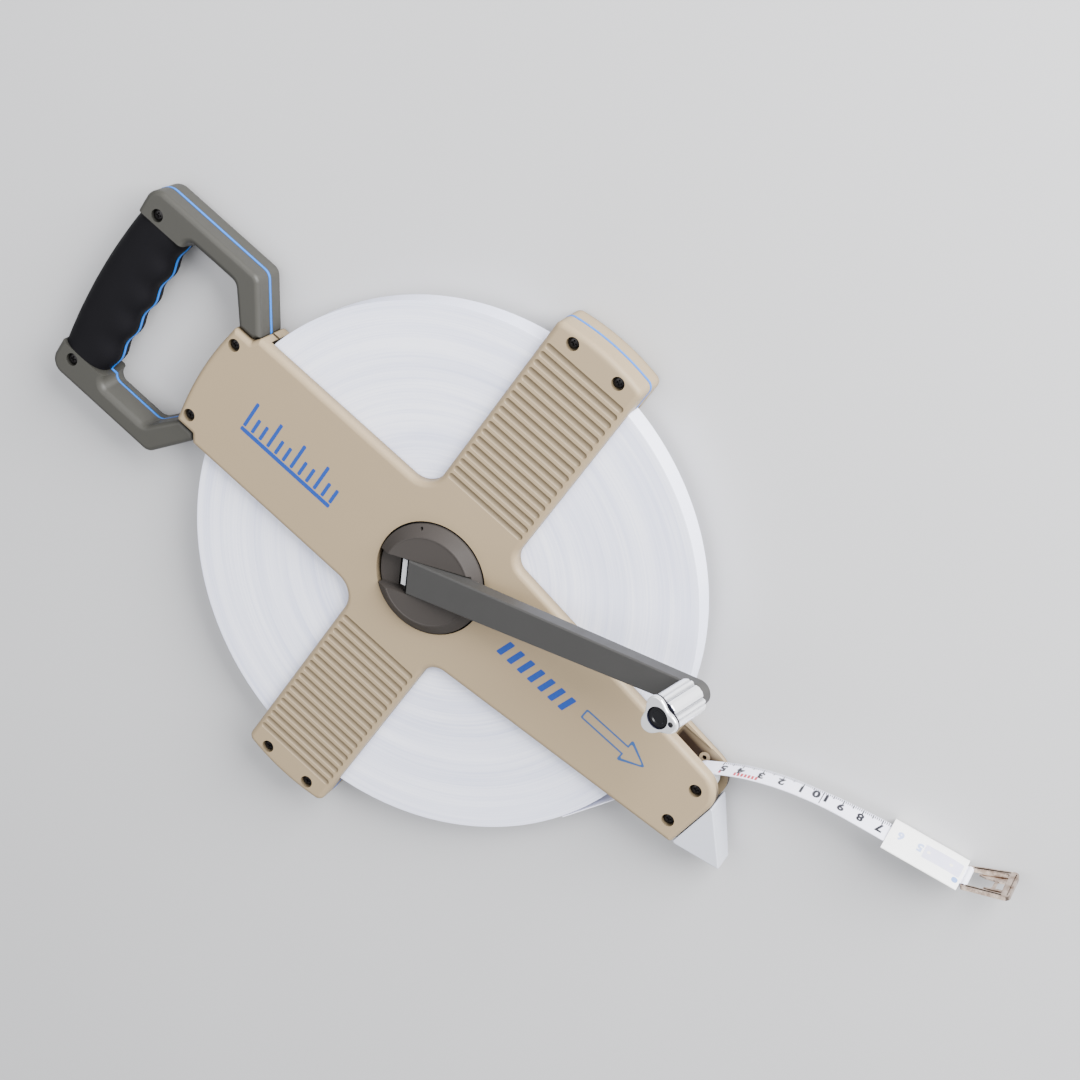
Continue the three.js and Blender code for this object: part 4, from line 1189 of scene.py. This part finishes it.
def slanted(x, width, y0, y1, lean=2.6):
    return [(x, y0, 0.5), (x + width, y0, 0.5), (x + width + lean, y1, 0.5), (x + lean, y1, 0.5)]


def arrow(x0, x1, neck, shaft, head):
    """A plain arrow along X, symmetric about its own middle line."""
    middle = 2.0
    return [(x0, middle - shaft, 0.8), (neck, middle - shaft, 0.3), (neck, middle - head, 0.8),
            (x1, middle, 0.8), (neck, middle + head, 0.8), (neck, middle + shaft, 0.3),
            (x0, middle + shaft, 0.8)]


right_marks = [mark_plate(slanted(47 + 6.6 * k, 3.1, -5.4, 4.2)) for k in range(7)]
dress(merged("right_bar_print", right_marks), PRINT_BLUE.material, "frame", "seam")
arrow_mark = mark_plate(arrow(98.5, 137.5, 124.5, 3.0, 7.4), arrow(99.3, 136.1, 125.3, 2.2, 5.4))
arrow_mark.name = arrow_mark.data.name = "right_arrow_print"
dress(arrow_mark, PRINT_PALE_BLUE.material, "frame", "seam")


# ------------------------ CAD pieces that keep their shape
KEPT = {
    "seam_insert_upper": BLUE, "seam_insert_lower": BLUE, "handle_seam_insert": BLUE, "rear_bush": BLACK,
    "spindle": STEEL, "drum": BLACK, "hinge_pin": STEEL,
}
for node, paint in KEPT.items():
    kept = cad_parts[node]
    kept.data.materials.clear()
    kept.data.materials.append(paint.material)


# ------------------------ floor and light
floor = new_object("floor", [(-6, -6, 0), (6, -6, 0), (6, 6, 0), (-6, 6, 0)], [(0, 1, 2, 3)], 1.0, False)
floor_paint = Paint("floor_paper", (0.48, 0.48, 0.49), 0.7)
floor_paint.base(floor_paint.mix(floor_paint.noise(3.0, 3.0), (0.46, 0.46, 0.47), (0.50, 0.50, 0.51)))
floor.data.materials.append(floor_paint.material)


def softbox(name, place, size, power):
    """A square lamp aimed at the object's origin."""
    data = bpy.data.lights.new(name, "AREA")
    data.shape = "RECTANGLE"
    data.size, data.size_y = size, size
    data.energy = power
    lamp = bpy.data.objects.new(name, data)
    bpy.context.scene.collection.objects.link(lamp)
    lamp.location = place
    lamp.rotation_euler = (-Vector(place)).to_track_quat("-Z", "Y").to_euler()


softbox("key", (0.55, 1.55, 0.72), 1.3, 150.0)
softbox("top", (-0.6, 0.1, 1.6), 1.5, 24.0)
softbox("fill", (0.9, -1.1, 0.9), 1.0, 6.0)
world = bpy.data.worlds.new("studio")
world.use_nodes = True
world.node_tree.nodes["Background"].inputs["Color"].default_value = (0.86, 0.88, 0.92, 1.0)
world.node_tree.nodes["Background"].inputs["Strength"].default_value = 0.6
bpy.context.scene.world = world
